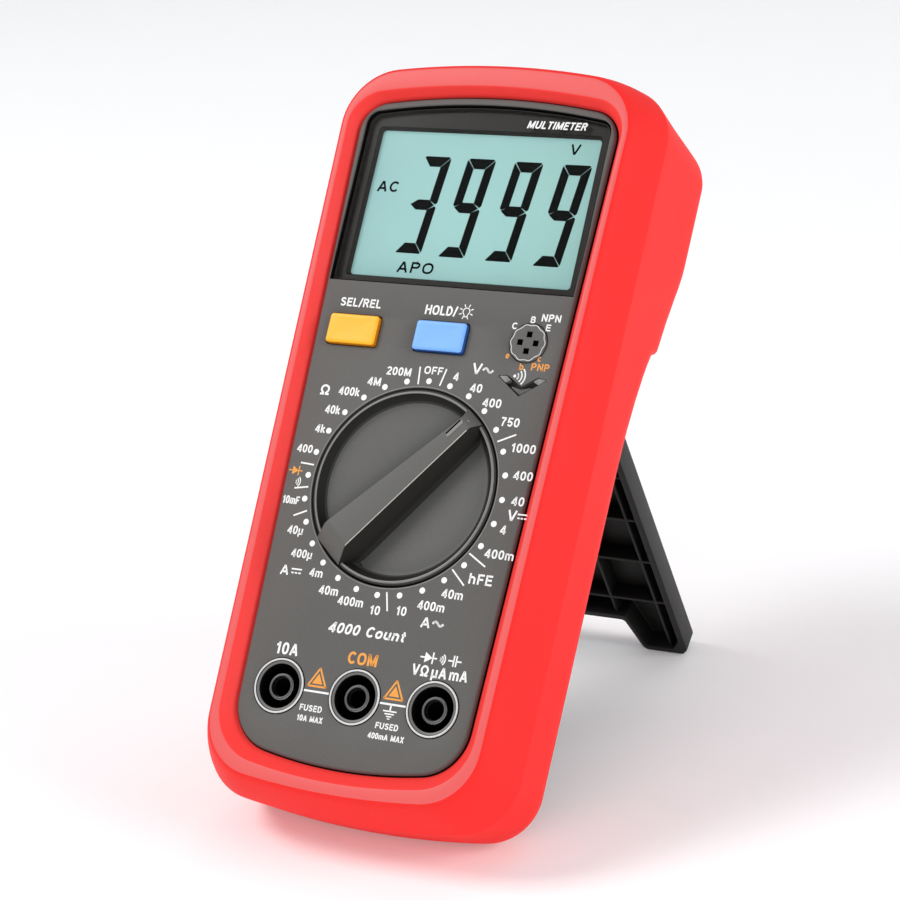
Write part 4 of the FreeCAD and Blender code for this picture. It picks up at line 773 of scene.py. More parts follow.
def make_panel():
    sh = Shell()

    def fr(p, w):
        return sh.ring([(x, y, w) for x, y in perimeter(p)])
    seq = [(inset(CASE(-3.0), 2.0), -2.4), (inset(CASE(-9.0), 2.0), -9.0), (inset(CASE(-13.0), 2.0), -13.0), (CASE(-13.0), -13.0),
           (CASE(-9.0), -9.0), (CASE(-1.2), -1.45), (inset(CASE(-1.2), 0.2), -1.25), (PANEL, -1.25), (PANEL, -0.8)]
    rings = [fr(p, w) for p, w in seq]
    k0 = len(rings)
    for d, w in ((0.03, -0.58), (0.12, -0.36), (0.27, -0.17), (0.46, -0.05), (0.7, 0.0)):
        rings.append(fr(inset(PANEL, d), w))
    # the panel's walls below the face and the walls of its holes take the near-black as painted shade
    for i, (a, b) in enumerate(zip(rings, rings[1:])):
        sh.strip(a, b, 1 if i < k0 - 1 else 0)
    top_holes, low_holes = [], []

    def hole(rs, blind=False, mats=None):
        ids = [sh.ring(r) for r in rs]
        for i, (a, b) in enumerate(zip(ids, ids[1:])):
            sh.strip(a, b, mats[i] if mats else 0)
        top_holes.append(ids[0])
        if blind:
            sh.cap(ids[-1], (), mats[-1] if mats else 0)
        else:
            low_holes.append(ids[-1])
        return ids
    # display pocket, its ledge and the opening behind it
    hole([lens_loop(31.1, 45.8, 89.5, 170, 3.35, 0.5, 0.0), lens_loop(30.97, 45.93, 89.37, 170, 3.22, 0.4, -0.13),
          lens_loop(30.93, 45.97, 89.33, 170, 3.18, 0.4, -0.4), lens_loop(30.93, 45.97, 89.33, 170, 3.18, 0.4, -2.2),
          lens_loop(28.6, 47.9, 84.0, 5000, 0.6, 0.6, -2.2), lens_loop(28.6, 47.9, 84.0, 5000, 0.6, 0.6, -2.4)], mats=[0, 0, 1, 1, 1])
    # dial well with its raised bead; the bead takes the lighter grey as painted highlight and the well wall the dark
    # grey as painted shade
    prof = [(23.2, 0.0), (23.05, 0.03), (22.94, 0.08), (22.84, 0.12), (22.74, 0.12), (22.64, 0.07), (22.54, -0.06), (22.46, -0.3), (22.4, -2.4)]
    hole([circ(0.1, -0.1, r, 160, w) for r, w in prof], mats=[0, 0, 2, 2, 0, 3, 3, 3])
    for cx, cy in KEYS.values():
        hole([rrect(cx, cy, 6.72, 3.87, 0.9, 0.0), rrect(cx, cy, 6.52, 3.67, 0.75, -0.08), rrect(cx, cy, 6.45, 3.6, 0.7, -0.3),
              rrect(cx, cy, 6.45, 3.6, 0.7, -2.4)], mats=[0, 1, 1])
    hole([circ(*SOCK, r, 64, w) for r, w in ((4.72, 0.0), (4.6, -0.06), (4.55, -0.25), (4.55, -2.4))], mats=[0, 1, 1])
    for cx, cy in JACKS:
        hole([circ(cx, cy, r, 80, w) for r, w in ((6.55, 0.0), (6.32, -0.08), (6.22, -0.3), (6.2, -2.4))], mats=[0, 1, 1])
    # the chevron's rim takes the lighter grey as painted highlight and its floor the dark grey as painted shade
    hole([rpoly([(a[0] + (a[0] - 22.8) * 0.012, a[1]) for a in CHEV], 0.25, 0.0), rpoly(CHEV, 0.22, -0.14), rpoly(CHEV, 0.22, -1.5)], blind=True, mats=[2, 0, 3])
    sh.cap(rings[-1], top_holes, 0)
    sh.cap(rings[0], low_holes, 1)
    return build("front_panel", sh.v, sh.f, FACE, [PANEL_M, GAP_SHADE, BEAD_HIGHLIGHT_M, WELL_SHADE_M], sh.m, "meter", 30, ("front_case",))


make_panel()

# the sounder grille: two leaves in the lighter grey of painted highlight and a lower lip over a slot whose dark floor
# is painted shade


def leaf(name, pts, w_low, w_top, mat, lean=0.0):
    sh = Shell()
    cx = sum(p[0] for p in pts) / len(pts)
    cy = sum(p[1] for p in pts) / len(pts)

    def at(k, w):
        return [(cx + (x - cx) * k, cy + (y - cy) * k, w + lean * (y - cy)) for x, y, _ in rpoly(pts, 0.16, 0, 3)]
    rows = [sh.ring(at(1.0, w_low)), sh.ring(at(1.0, w_top - 0.12)), sh.ring(at(0.97, w_top - 0.03)), sh.ring(at(0.92, w_top))]
    for a, b in zip(rows, rows[1:]):
        sh.strip(a, b)
    sh.face(rows[-1])
    sh.face(rows[0][::-1])
    return build(name, sh.v, sh.f, FACE, [mat], None, "meter", 30)


leaf("sounder_leaf_left", [(16.9, 26.95), (19.0, 27.05), (20.1, 26.2), (18.9, 25.5)], -1.45, -0.12, BEAD_HIGHLIGHT_M)
leaf("sounder_leaf_right", [(28.7, 26.9), (26.5, 27.0), (25.5, 26.2), (26.9, 25.55)], -1.45, -0.12, BEAD_HIGHLIGHT_M)
leaf("sounder_lip", [(19.7, 25.05), (22.85, 23.0), (26.1, 25.1), (22.85, 24.2)], -1.45, -0.35, PANEL_M)

# ------------------------------------------------------------------ display
sh = Shell()
loops_ = [(30.55, 46.3, 88.95, 170, 2.95, 0.3, -2.18), (30.55, 46.3, 88.95, 170, 2.95, 0.3, -1.2), (30.42, 46.42, 88.83, 170, 2.86, 0.25, -1.03),
          (30.3, 46.55, 88.7, 170, 2.8, 0.22, -1.03), (30.25, 46.6, 88.65, 170, 2.75, 0.2, -2.08), (28.3, 47.8, 84.0, 5000, 0.9, 0.9, -2.08), (28.3, 47.8, 84.0, 5000, 0.9, 0.9, -2.18)]
rr = [sh.ring(lens_loop(*p)) for p in loops_]
for k in range(len(rr)):
    sh.strip(rr[k], rr[(k + 1) % len(rr)])
build("lens_border_print", sh.v, sh.f, FACE, [LENS_B], None, "meter", 30, ("lcd_window",))
sh = Shell()
a = sh.ring(lens_loop(30.23, 46.62, 88.63, 170, 2.73, 0.2, -1.01))
b = sh.ring(lens_loop(30.23, 46.62, 88.63, 170, 2.73, 0.2, -2.05))
sh.strip(a, b)
sh.cap(a)
sh.cap(b)
build("lens_clear_window", sh.v, sh.f, FACE, [CLEAR], None, "meter", 30)
# glass cell
v_, f_ = bevel_box("x", FACE, -31.0, 45.5, -6.1, 31.0, 86.5, -3.3, 0.15, None)
build("display_cell", v_, f_, FACE, [LCD_GLOW_M], None, "meter", 30, ("lcd_glass",))
# dark inner frame that masks the glass edge
sh = Shell()
a = sh.ring(lens_loop(28.55, 47.95, 83.95, 5000, 0.6, 0.6, -2.45))
b = sh.ring(lens_loop(27.75, 48.4, 83.45, 5000, 0.9, 0.9, -3.2))
c = sh.ring(lens_loop(27.75, 48.4, 83.45, 5000, 0.9, 0.9, -3.28))
d = sh.ring(lens_loop(30.6, 46.3, 86.3, 5000, 0.9, 0.9, -3.28))
e = sh.ring(lens_loop(30.6, 46.3, 86.3, 5000, 0.9, 0.9, -2.45))
for p, q in ((a, b), (b, c), (c, d), (d, e), (e, a)):
    sh.strip(p, q)
build("display_mask", sh.v, sh.f, FACE, [LENS_B], None, "meter", 30)

# segments: four leaning figures and a few words
SLOPE = 0.10


def plate_poly(sh, pts, w0, w1):
    a = sh.ring([(x, y, w0) for x, y in pts])
    b = sh.ring([(x, y, w1) for x, y in pts])
    sh.strip(a, b)
    sh.face(b)
    sh.face(a[::-1])


def digit(sh, cx, vlow, hgt, w, t, lean, segs):
    """Seven slanted bars; cx is the middle of the figure at its foot."""
    h = hgt / 2

    def P(x, y):
        return (cx + x + lean * y, vlow + y)
    q = t * 0.86
    S = {
        "a": [(-w + 0.35, hgt - 0.3), (-w + 0.65, hgt), (w - 0.55, hgt), (w - 0.3, hgt - 0.3), (w - q - 0.12, hgt - t), (-w + q + 0.12, hgt - t)],
        "d": [(-w + 0.6, 0.14), (-w + 0.8, 0), (w - 0.45, 0), (w - 0.25, 0.25), (w - q - 0.12, t), (-w + q + 0.12, t)],
        "b": [(w, hgt - 0.75), (w - 0.12, hgt - 0.35), (w - q, hgt - t - 0.02), (w - q, h + t * 0.46), (w - 0.42, h + 0.2), (w, h + 0.62)],
        "c": [(w, h - 0.62), (w - 0.42, h - 0.2), (w - q, h - t * 0.46), (w - q, t + 0.02), (w - 0.12, 0.35), (w, 0.75)],
        "f": [(-w, hgt - 0.75), (-w + 0.12, hgt - 0.35), (-w + q, hgt - t - 0.02), (-w + q, h + t * 0.46), (-w + 0.42, h + 0.2), (-w, h + 0.62)],
        "g": [(-w + 0.42, h), (-w + q + 0.02, h + t * 0.5), (w - q - 0.14, h + t * 0.5), (w - 0.62, h), (w - q - 0.14, h - t * 0.5), (-w + q + 0.02, h - t * 0.5)],
    }
    for s in segs:
        plate_poly(sh, [P(x, y) for x, y in S[s]], -3.3, -3.26)


sh = Shell()
for cx, low, hg, lean_, kind in ((-14.5, 54.3, 23.35, 0.1, "abgcd"), (-3.35, 54.0, 23.6, 0.108, "abcdfg"), (8.45, 53.8, 23.6, 0.112, "abcdfg"), (20.45, 53.4, 23.9, 0.112, "abcdfg")):
    digit(sh, cx, low, hg, 3.55, 2.45, lean_, kind)
build("display_figures", sh.v, sh.f, FACE, [SEG], None, "meter", 30, merge=False)

# ------------------------------------------------------------------ printed lettering


HB = 0.088


def EL(cx, cy, rx, ry, a0, a1, n=12):
    return [(cx + rx * math.cos(math.radians(a0 + (a1 - a0) * i / n)), cy + ry * math.sin(math.radians(a0 + (a1 - a0) * i / n))) for i in range(n + 1)]


def OV(cx, cy, rx, ry):
    """Closed, slightly squared ring."""
    out = []
    for i in range(25):
        a = 2 * math.pi * i / 24
        c, s_ = math.cos(a), math.sin(a)
        k = (abs(c) ** 2.4 + abs(s_) ** 2.4) ** (-1 / 2.4)
        out.append((cx + rx * c * k, cy + ry * s_ * k))
    return out


LO, HI = HB, 1 - HB
GLYPH = {
    "0": (0.56, [OV(0.28, 0.5, 0.192, 0.412)]),
    "1": (0.42, [[(0.27, 0.0), (0.27, 1.0)], [(0.05, 0.70), (0.17, 0.77), (0.25, 0.92)]]),
    "2": (0.56, [EL(0.275, 0.705, 0.19, 0.207, 172, -28) + [(0.36, 0.5), (0.14, 0.2), (0.09, LO)], [(0.02, LO), (0.53, LO)]]),
    "3": (0.56, [EL(0.27, 0.715, 0.178, 0.197, 165, -75) + [(0.22, 0.525)], [(0.24, 0.525)] + EL(0.27, 0.298, 0.195, 0.21, 78, -168)]),
    "4": (0.60, [[(0.44, 0.0), (0.44, 1.0)], [(0.43, 0.95), (0.09, 0.30)], [(0.02, 0.285), (0.59, 0.285)]]),
    "5": (0.56, [[(0.52, HI), (0.15, HI), (0.10, 0.50)] + EL(0.275, 0.325, 0.19, 0.237, 138, -160)]),
    "6": (0.56, [OV(0.28, 0.315, 0.19, 0.227), EL(0.34, 0.45, 0.25, 0.46, 75, 178)]),
    "7": (0.54, [[(0.03, HI), (0.5, HI)], [(0.48, 0.9), (0.34, 0.66), (0.24, 0.36), (0.2, 0.0)]]),
    "8": (0.56, [OV(0.28, 0.72, 0.165, 0.192), OV(0.28, 0.29, 0.192, 0.202)]),
    "9": (0.56, [OV(0.28, 0.685, 0.19, 0.227), EL(0.22, 0.55, 0.25, 0.46, -105, -2)]),
    "A": (0.70, [[(0.08, 0.0), (0.345, 0.97)], [(0.355, 0.97), (0.62, 0.0)], [(0.16, 0.31), (0.54, 0.31)]]),
    "B": (0.64, [[(0.1, 0.0), (0.1, 1.0)], [(0.1, HI), (0.33, HI)] + EL(0.33, 0.725, 0.17, 0.187, 90, -90) + [(0.1, 0.538)], [(0.3, 0.5)] + EL(0.34, 0.30, 0.2, 0.212, 90, -90) + [(0.1, LO)]]),
    "C": (0.67, [EL(0.36, 0.5, 0.268, 0.412, 42, 318)]),
    "D": (0.68, [[(0.1, 0.0), (0.1, 1.0)], [(0.1, HI), (0.28, HI)] + EL(0.28, 0.5, 0.295, 0.412, 90, -90) + [(0.1, LO)]]),
    "E": (0.59, [[(0.1, 0.0), (0.1, 1.0)], [(0.1, HI), (0.56, HI)], [(0.1, 0.52), (0.52, 0.52)], [(0.1, LO), (0.57, LO)]]),
    "F": (0.56, [[(0.1, 0.0), (0.1, 1.0)], [(0.1, HI), (0.54, HI)], [(0.1, 0.49), (0.48, 0.49)]]),
    "H": (0.68, [[(0.1, 0.0), (0.1, 1.0)], [(0.58, 0.0), (0.58, 1.0)], [(0.1, 0.52), (0.58, 0.52)]]),
    "I": (0.24, [[(0.12, 0.0), (0.12, 1.0)]]),
    "K": (0.66, [[(0.1, 0.0), (0.1, 1.0)], [(0.12, 0.38), (0.58, 0.98)], [(0.27, 0.58), (0.6, 0.02)]]),
    "L": (0.55, [[(0.1, 0.0), (0.1, 1.0)], [(0.1, LO), (0.53, LO)]]),
    "M": (0.80, [[(0.1, 0.0), (0.1, 1.0)], [(0.7, 0.0), (0.7, 1.0)], [(0.12, 0.97), (0.4, 0.07)], [(0.4, 0.07), (0.68, 0.97)]]),
    "N": (0.68, [[(0.1, 0.0), (0.1, 1.0)], [(0.58, 0.0), (0.58, 1.0)], [(0.12, 0.96), (0.56, 0.04)]]),
    "O": (0.73, [OV(0.365, 0.5, 0.275, 0.412)]),
    "P": (0.62, [[(0.1, 0.0), (0.1, 1.0)], [(0.1, HI), (0.34, HI)] + EL(0.34, 0.7, 0.19, 0.212, 90, -90) + [(0.1, 0.488)]]),
    "R": (0.66, [[(0.1, 0.0), (0.1, 1.0)], [(0.1, HI), (0.34, HI)] + EL(0.34, 0.71, 0.19, 0.202, 90, -90) + [(0.1, 0.508)], [(0.35, 0.5), (0.59, 0.02)]]),
    "S": (0.62, [EL(0.31, 0.725, 0.2, 0.187, 18, 235) + EL(0.31, 0.295, 0.212, 0.207, 62, -165)]),
    "T": (0.58, [[(0.02, HI), (0.56, HI)], [(0.29, 0.0), (0.29, HI)]]),
    "U": (0.68, [[(0.1, 1.0)] + EL(0.34, 0.33, 0.24, 0.242, 180, 360) + [(0.58, 1.0)]]),
    "V": (0.66, [[(0.07, 1.0), (0.325, 0.03)], [(0.335, 0.03), (0.59, 1.0)]]),
    "X": (0.64, [[(0.07, 1.0), (0.57, 0.0)], [(0.57, 1.0), (0.07, 0.0)]]),
    "k": (0.54, [[(0.09, 0.0), (0.09, 1.0)], [(0.11, 0.26), (0.43, 0.70)], [(0.22, 0.42), (0.47, 0.01)]]),
    "m": (0.84, [[(0.09, 0.0), (0.09, 0.73)], EL(0.25, 0.49, 0.16, 0.165, 180, 0) + [(0.41, 0.0)], EL(0.58, 0.49, 0.17, 0.165, 180, 0) + [(0.75, 0.0)]]),
    "h": (0.58, [[(0.09, 0.0), (0.09, 1.0)], EL(0.28, 0.45, 0.19, 0.2, 180, 0) + [(0.47, 0.0)]]),
    "n": (0.58, [[(0.09, 0.0), (0.09, 0.73)], EL(0.28, 0.45, 0.19, 0.2, 180, 0) + [(0.47, 0.0)]]),
    "u": (0.58, [[(0.09, 0.73)] + EL(0.28, 0.285, 0.19, 0.2, 180, 360), [(0.47, 0.73), (0.47, 0.0)]]),
    "µ": (0.58, [[(0.09, 0.73), (0.09, -0.26)], EL(0.28, 0.285, 0.19, 0.2, 180, 360), [(0.47, 0.73), (0.47, 0.0)]]),
    "t": (0.36, [[(0.18, 0.95), (0.18, 0.17), (0.24, LO), (0.34, LO)], [(0.02, 0.65), (0.34, 0.65)]]),
    "o": (0.60, [OV(0.30, 0.365, 0.205, 0.28)]),
    "c": (0.56, [EL(0.30, 0.365, 0.205, 0.28, 48, 312)]),
    "b": (0.60, [[(0.09, 0.0), (0.09, 1.0)], OV(0.31, 0.365, 0.195, 0.28)]),
    "e": (0.57, [[(0.1, 0.36), (0.47, 0.36)], EL(0.285, 0.365, 0.195, 0.28, 0, 318)]),
    "i": (0.24, [[(0.12, 0.0), (0.12, 0.73)], [(0.12, 0.84), (0.12, 1.0)]]),
    "x": (0.52, [[(0.06, 0.73), (0.46, 0.0)], [(0.46, 0.73), (0.06, 0.0)]]),
    "a": (0.56, [OV(0.27, 0.365, 0.185, 0.28), [(0.46, 0.73), (0.46, 0.0)]]),
    "Ω": (0.76, [[(0.04, LO), (0.27, LO), (0.27, 0.2)] + EL(0.38, 0.56, 0.28, 0.355, 238, -58) + [(0.49, 0.2), (0.49, LO), (0.72, LO)]]),
    "/": (0.36, [[(0.04, -0.04), (0.32, 1.04)]]),
    " ": (0.34, []),
    "_": (0.06, []),
}


def ribbon(sh, pts, t, w0, w1):
    """A band of even width along a line, with mitred joints, as one closed slab."""
    closed = len(pts) > 3 and math.dist(pts[0], pts[-1]) < 1e-4
    if closed:
        pts = pts[:-1]
    n = len(pts)
    L_, R_ = [], []
    for i in range(n):
        p = Vector(pts[i])
        a = Vector(pts[i - 1]) if (i > 0 or closed) else None
        b = Vector(pts[(i + 1) % n]) if (i < n - 1 or closed) else None
        d1 = (p - a).normalized() if a is not None else (b - p).normalized()
        d2 = (b - p).normalized() if b is not None else d1
        n1, n2 = Vector((-d1.y, d1.x)), Vector((-d2.y, d2.x))
        m = n1 + n2
        m = m.normalized() if m.length > 1e-6 else n1
        k = t / 2 / max(0.45, m.dot(n1))
        L_.append((p.x + m.x * k, p.y + m.y * k))
        R_.append((p.x - m.x * k, p.y - m.y * k))
    lt, rt_ = sh.ring([(x, y, w1) for x, y in L_]), sh.ring([(x, y, w1) for x, y in R_])
    lb, rb_ = sh.ring([(x, y, w0) for x, y in L_]), sh.ring([(x, y, w0) for x, y in R_])
    for i in range(n if closed else n - 1):
        j = (i + 1) % n
        for q in ((lt[i], rt_[i], rt_[j], lt[j]), (lb[i], lb[j], rb_[j], rb_[i]), (lt[i], lt[j], lb[j], lb[i]), (rt_[i], rb_[i], rb_[j], rt_[j])):
            sh.f.append(q)
            sh.m.append(0)
    if not closed:
        for i in (0, n - 1):
            sh.f.append((lt[i], lb[i], rb_[i], rt_[i]))
            sh.m.append(0)


def text(name, s, u, v, width, cap, mat=WHITE, w=0.004, rot=0.0, shear=0.0, bold=0.19, M=FACE, thick=0.012):
    sh = Shell()
    gap = 0.10
    total = sum(GLYPH[ch][0] for ch in s) + gap * (len(s) - 1)
    t = cap * bold
    kx = (width - t * 0.0) / total
    ca, sa = math.cos(math.radians(rot)), math.sin(math.radians(rot))
    x0 = -total / 2
    for ch in s:
        gw, lines_ = GLYPH[ch]
        for ln in lines_:
            pts = []
            for x, y in ln:
                X = (x0 + x) * kx + shear * (y - 0.5) * cap
                Y = (y - 0.5) * cap
                pts.append((u + X * ca - Y * sa, v + X * sa + Y * ca))
            ribbon(sh, pts, t, w, w + thick)
        x0 += gw + gap
    return build(name, sh.v, sh.f, M, [mat], None, "meter", 30, merge=False)


def mark(name, polys, mat=WHITE, w=0.004, thick=0.012, body="meter", M=FACE):
    sh = Shell()
    for p in polys:
        plate_poly(sh, p, w, w + thick)
    return build(name, sh.v, sh.f, M, [mat], None, body, 30, merge=False)


def stroke(pts, t):
    """A line of even thickness as short quads."""
    out = []
    for (x0, y0), (x1, y1) in zip(pts, pts[1:]):
        d = math.hypot(x1 - x0, y1 - y0) or 1e-6
        nx, ny = -(y1 - y0) / d * t / 2, (x1 - x0) / d * t / 2
        ex, ey = (x1 - x0) / d * t * 0.18, (y1 - y0) / d * t * 0.18
        out.append([(x0 - ex + nx, y0 - ey + ny), (x0 - ex - nx, y0 - ey - ny), (x1 + ex - nx, y1 + ey - ny), (x1 + ex + nx, y1 + ey + ny)])
    return out


def arc_pts(cx, cy, r, a0, a1, n=10):
    return [(cx + r * math.cos(math.radians(a0 + (a1 - a0) * i / n)), cy + r * math.sin(math.radians(a0 + (a1 - a0) * i / n))) for i in range(n + 1)]


def wave(cx, cy, wid, amp, t):
    return stroke([(cx - wid / 2 + wid * i / 14, cy + amp * math.sin(2 * math.pi * i / 14)) for i in range(15)], t)


def dc_sign(cx, cy, wid, t=0.34):
    p = stroke([(cx - wid / 2, cy + 0.42), (cx + wid / 2, cy + 0.42)], t)
    for k in (-1, 0, 1):
        p += stroke([(cx + k * wid * 0.36 - wid * 0.1, cy - 0.42), (cx + k * wid * 0.36 + wid * 0.1, cy - 0.42)], t)
    return p


LABELS = [
    ("OFF", 1.0, 26.65, 4.7, 1.75), ("4", 6.8, 25.75, 1.35, 1.9), ("40", 12.3, 23.6, 3.0, 1.95), ("400", 16.9, 20.6, 4.6, 2.0),
    ("750", 22.3, 16.75, 4.5, 2.0), ("1000", 26.8, 11.25, 5.9, 2.0), ("400", 28.1, 5.25, 4.7, 2.0), ("40", 28.2, -0.4, 3.1, 2.0),
    ("4", 26.2, -6.9, 1.4, 2.0), ("400m", 26.6, -12.35, 7.0, 2.0), ("hFE", 23.6, -18.2, 5.7, 2.3), ("40m", 17.7, -22.15, 5.2, 2.0),
    ("400m", 13.3, -25.3, 6.6, 2.0), ("10", 6.5, -27.2, 2.5, 2.0), ("10", 0.1, -27.8, 2.5, 2.0), ("400m", -6.3, -26.65, 6.4, 2.0),
    ("40m", -12.3, -24.9, 4.9, 2.0), ("4m", -16.4, -21.4, 3.4, 1.9), ("400µ", -21.1, -17.6, 5.4, 1.9), ("40µ", -24.1, -12.5, 4.0, 1.9),
    ("10mF", -27.0, -5.85, 4.3, 1.8), ("400", -26.6, 6.1, 4.0, 1.85), ("4k", -23.9, 11.0, 2.6, 1.9), ("40k", -21.9, 15.6, 3.9, 1.95),
    ("400k", -18.8, 20.15, 5.4, 1.95), ("4M", -13.1, 22.95, 3.4, 1.95), ("200M", -7.5, 25.75, 6.2, 1.9),
    ("V", 11.5, 27.95, 2.5, 2.5), ("Ω", -25.0, 20.0, 2.5, 2.4), ("A", -24.4, -21.6, 2.3, 2.2), ("A", 12.9, -28.9, 2.4, 2.3), ("V", 27.6, -3.6, 2.3, 2.4),
    ("SEL/REL", -21.15, 40.8, 10.5, 2.0), ("HOLD/", -0.55, 40.5, 8.0, 2.2),
    ("10A", -19.1, -38.85, 5.7, 2.65), ("VΩ_µA_mA", 18.9, -39.2, 13.4, 2.4),
    ("C", 18.25, 38.35, 1.4, 1.5), ("B", 22.35, 40.05, 1.25, 1.5), ("E", 26.35, 38.5, 1.25, 1.5), ("NPN", 26.6, 40.7, 4.7, 1.7),
    ("FUSED", -9.9, -50.9, 5.6, 1.35), ("FUSED", 9.3, -52.2, 5.6, 1.35), ("10A MAX", -9.6, -53.2, 6.4, 1.3), ("400mA MAX", 9.6, -54.5, 8.8, 1.3),
]
for k, (s, u, v, wd, cp) in enumerate(LABELS):
    text("print_%02d" % k, s, u, v, wd, cp, bold=0.2 if cp < 1.7 else 0.19)
text("print_counts", "4000 Count", -0.6, -32.7, 19.0, 2.3, shear=0.2, bold=0.21)
text("print_com", "COM", -0.1, -38.7, 7.3, 2.65, ORANGE, bold=0.21)
text("print_title", "MULTIMETER", 17.2, 85.45, 14.6, 1.8, WHITE, w=-0.985, shear=0.25, bold=0.2)
for k, (s, u, v, wd, cp) in enumerate((("e", 18.1, 31.6, 1.0, 1.5), ("b", 22.0, 29.3, 1.0, 1.5), ("c", 25.9, 31.5, 1.0, 1.5), ("PNP", 26.5, 29.5, 4.4, 1.65))):
    text("print_pnp_%d" % k, s, u, v, wd, cp, ORANGE, bold=0.19)
for k, (s, u, v, wd, cp) in enumerate((("AC", -23.2, 69.9, 5.6, 2.6), ("V", 21.6, 80.9, 2.6, 2.5), ("APO", -11.4, 51.0, 9.4, 2.6))):
    text("display_word_%d" % k, s, u, v, wd, cp, SEG, w=-3.3, thick=0.04, shear=0.06, bold=0.185)

marks_w = []
for i in range(28):
    a = math.radians(89.25 - 360.0 / 28 * i)
    marks_w.append([(0.12 + 24.3 * math.cos(a) + 0.68 * math.cos(b_), -0.15 + 24.3 * math.sin(a) + 0.68 * math.sin(b_)) for b_ in [2 * math.pi * k / 24 for k in range(24)]])
for x0, y0, x1, y1 in ((-2.5, 27.2, -2.1, 23.3), (4.1, 27.2, 3.3, 23.4), (20.3, 12.2, 24.3, 14.1), (19.6, -12.9, 23.9, -15.3), (16.4, -16.8, 19.9, -19.9),
                       (2.0, -23.6, 3.1, -27.6), (-25.4, -9.3, -22.4, -7.9), (-26.8, -3.1, -23.5, -2.5), (-26.7, 2.8, -23.4, 2.6)):
    marks_w += stroke([(x0, y0), (x1, y1)], 0.36)
mark("print_ring", marks_w)
sym = wave(14.2, 27.8, 2.4, 0.42, 0.5) + wave(15.9, -28.9, 2.5, 0.42, 0.5) + dc_sign(-21.4, -21.6, 2.5) + dc_sign(30.0, -3.6, 2.2)
# sounder waves, lamp sign, sound mark
for r in (0.9, 1.7, 2.5):
    sym += stroke(arc_pts(20.9, 27.1, r, -42, 42, 8), 0.34)
sym += [[(20.9 + 0.35 * math.cos(t), 27.1 + 0.35 * math.sin(t)) for t in [2 * math.pi * k / 12 for k in range(12)]]]
for k in range(8):
    t = math.pi / 4 * k + math.pi / 8
    sym += stroke([(5.7 + 1.2 * math.cos(t), 40.65 + 1.2 * math.sin(t)), (5.7 + 1.78 * math.cos(t), 40.65 + 1.78 * math.sin(t))], 0.24)
sym += stroke(arc_pts(5.7, 40.7, 0.82, -50, 230, 14), 0.26) + stroke([(5.3, 39.95), (5.3, 39.5), (6.1, 39.5), (6.1, 39.95)], 0.24)
for r in (0.45, 0.95, 1.45):
    sym += stroke(arc_pts(-27.2, -1.6, r, -45, 45, 6), 0.26)
# marks over the right socket: diode, sound, capacitor
row_ = [[(15.1, -35.4), (15.1, -37.4), (16.7, -36.4)]] + stroke([(14.2, -36.4), (15.1, -36.4)], 0.3) + stroke([(16.8, -35.35), (16.8, -37.45)], 0.3) + stroke([(16.8, -36.4), (17.6, -36.4)], 0.3)
for r in (0.4, 0.85, 1.3):
    row_ += stroke(arc_pts(18.1, -36.4, r, -45, 45, 6), 0.3)
row_ += stroke([(20.1, -36.4), (21.1, -36.4)], 0.3) + stroke([(21.2, -35.4), (21.2, -37.4)], 0.3) + stroke([(21.75, -35.4), (21.75, -37.4)], 0.3) + stroke([(21.8, -36.4), (22.8, -36.4)], 0.3)
sym += [[(18.4 + (x - 18.45) * 1.14, -36.3 + (y + 36.4) * 1.14) for x, y in p] for p in row_]
# lines between the sockets, earth sign
sym += stroke([(-12.55, -47.2), (-6.45, -47.2)], 0.42) + stroke([(6.45, -47.4), (12.6, -47.4)], 0.42)
sym += stroke([(9.2, -47.4), (9.2, -48.9)], 0.36) + stroke([(7.6, -48.9), (10.8, -48.9)], 0.3) + stroke([(8.1, -49.5), (10.3, -49.5)], 0.28) + stroke([(8.6, -50.05), (9.8, -50.05)], 0.26) + stroke([(8.95, -50.55), (9.45, -50.55)], 0.24)
mark("print_signs", sym)
# scalloped outline round the transistor socket
rose = []
m_ = 120
for k in range(m_ + 1):
    t = 2 * math.pi * k / m_
    rr = 4.02 + 0.14 * math.cos(10 * t)
    rose.append((SOCK[0] + rr * math.cos(t), SOCK[1] + rr * math.sin(t)))
mark("print_rosette", stroke(rose, 0.22), RING_W, w=0.36)
# orange: diode mark and two plain triangles
og = [[(-28.4, 1.9), (-28.4, -0.1), (-26.9, 0.9)]] + stroke([(-29.3, 0.9), (-28.4, 0.9)], 0.26) + stroke([(-26.8, 1.95), (-26.8, -0.15)], 0.3) + stroke([(-26.8, 0.9), (-25.9, 0.9)], 0.26)
for cx, cy in ((-9.75, -44.45), (9.35, -44.65)):
    tri = [(cx, cy + 2.45), (cx - 2.25, cy - 1.6), (cx + 2.25, cy - 1.6)]
    og += stroke(tri + [tri[0]], 0.42)
    og += [[(cx, cy + 1.25), (cx - 1.3, cy - 1.05), (cx + 1.3, cy - 1.05)]]
mark("print_orange", og, ORANGE)

# ------------------------------------------------------------------ keys


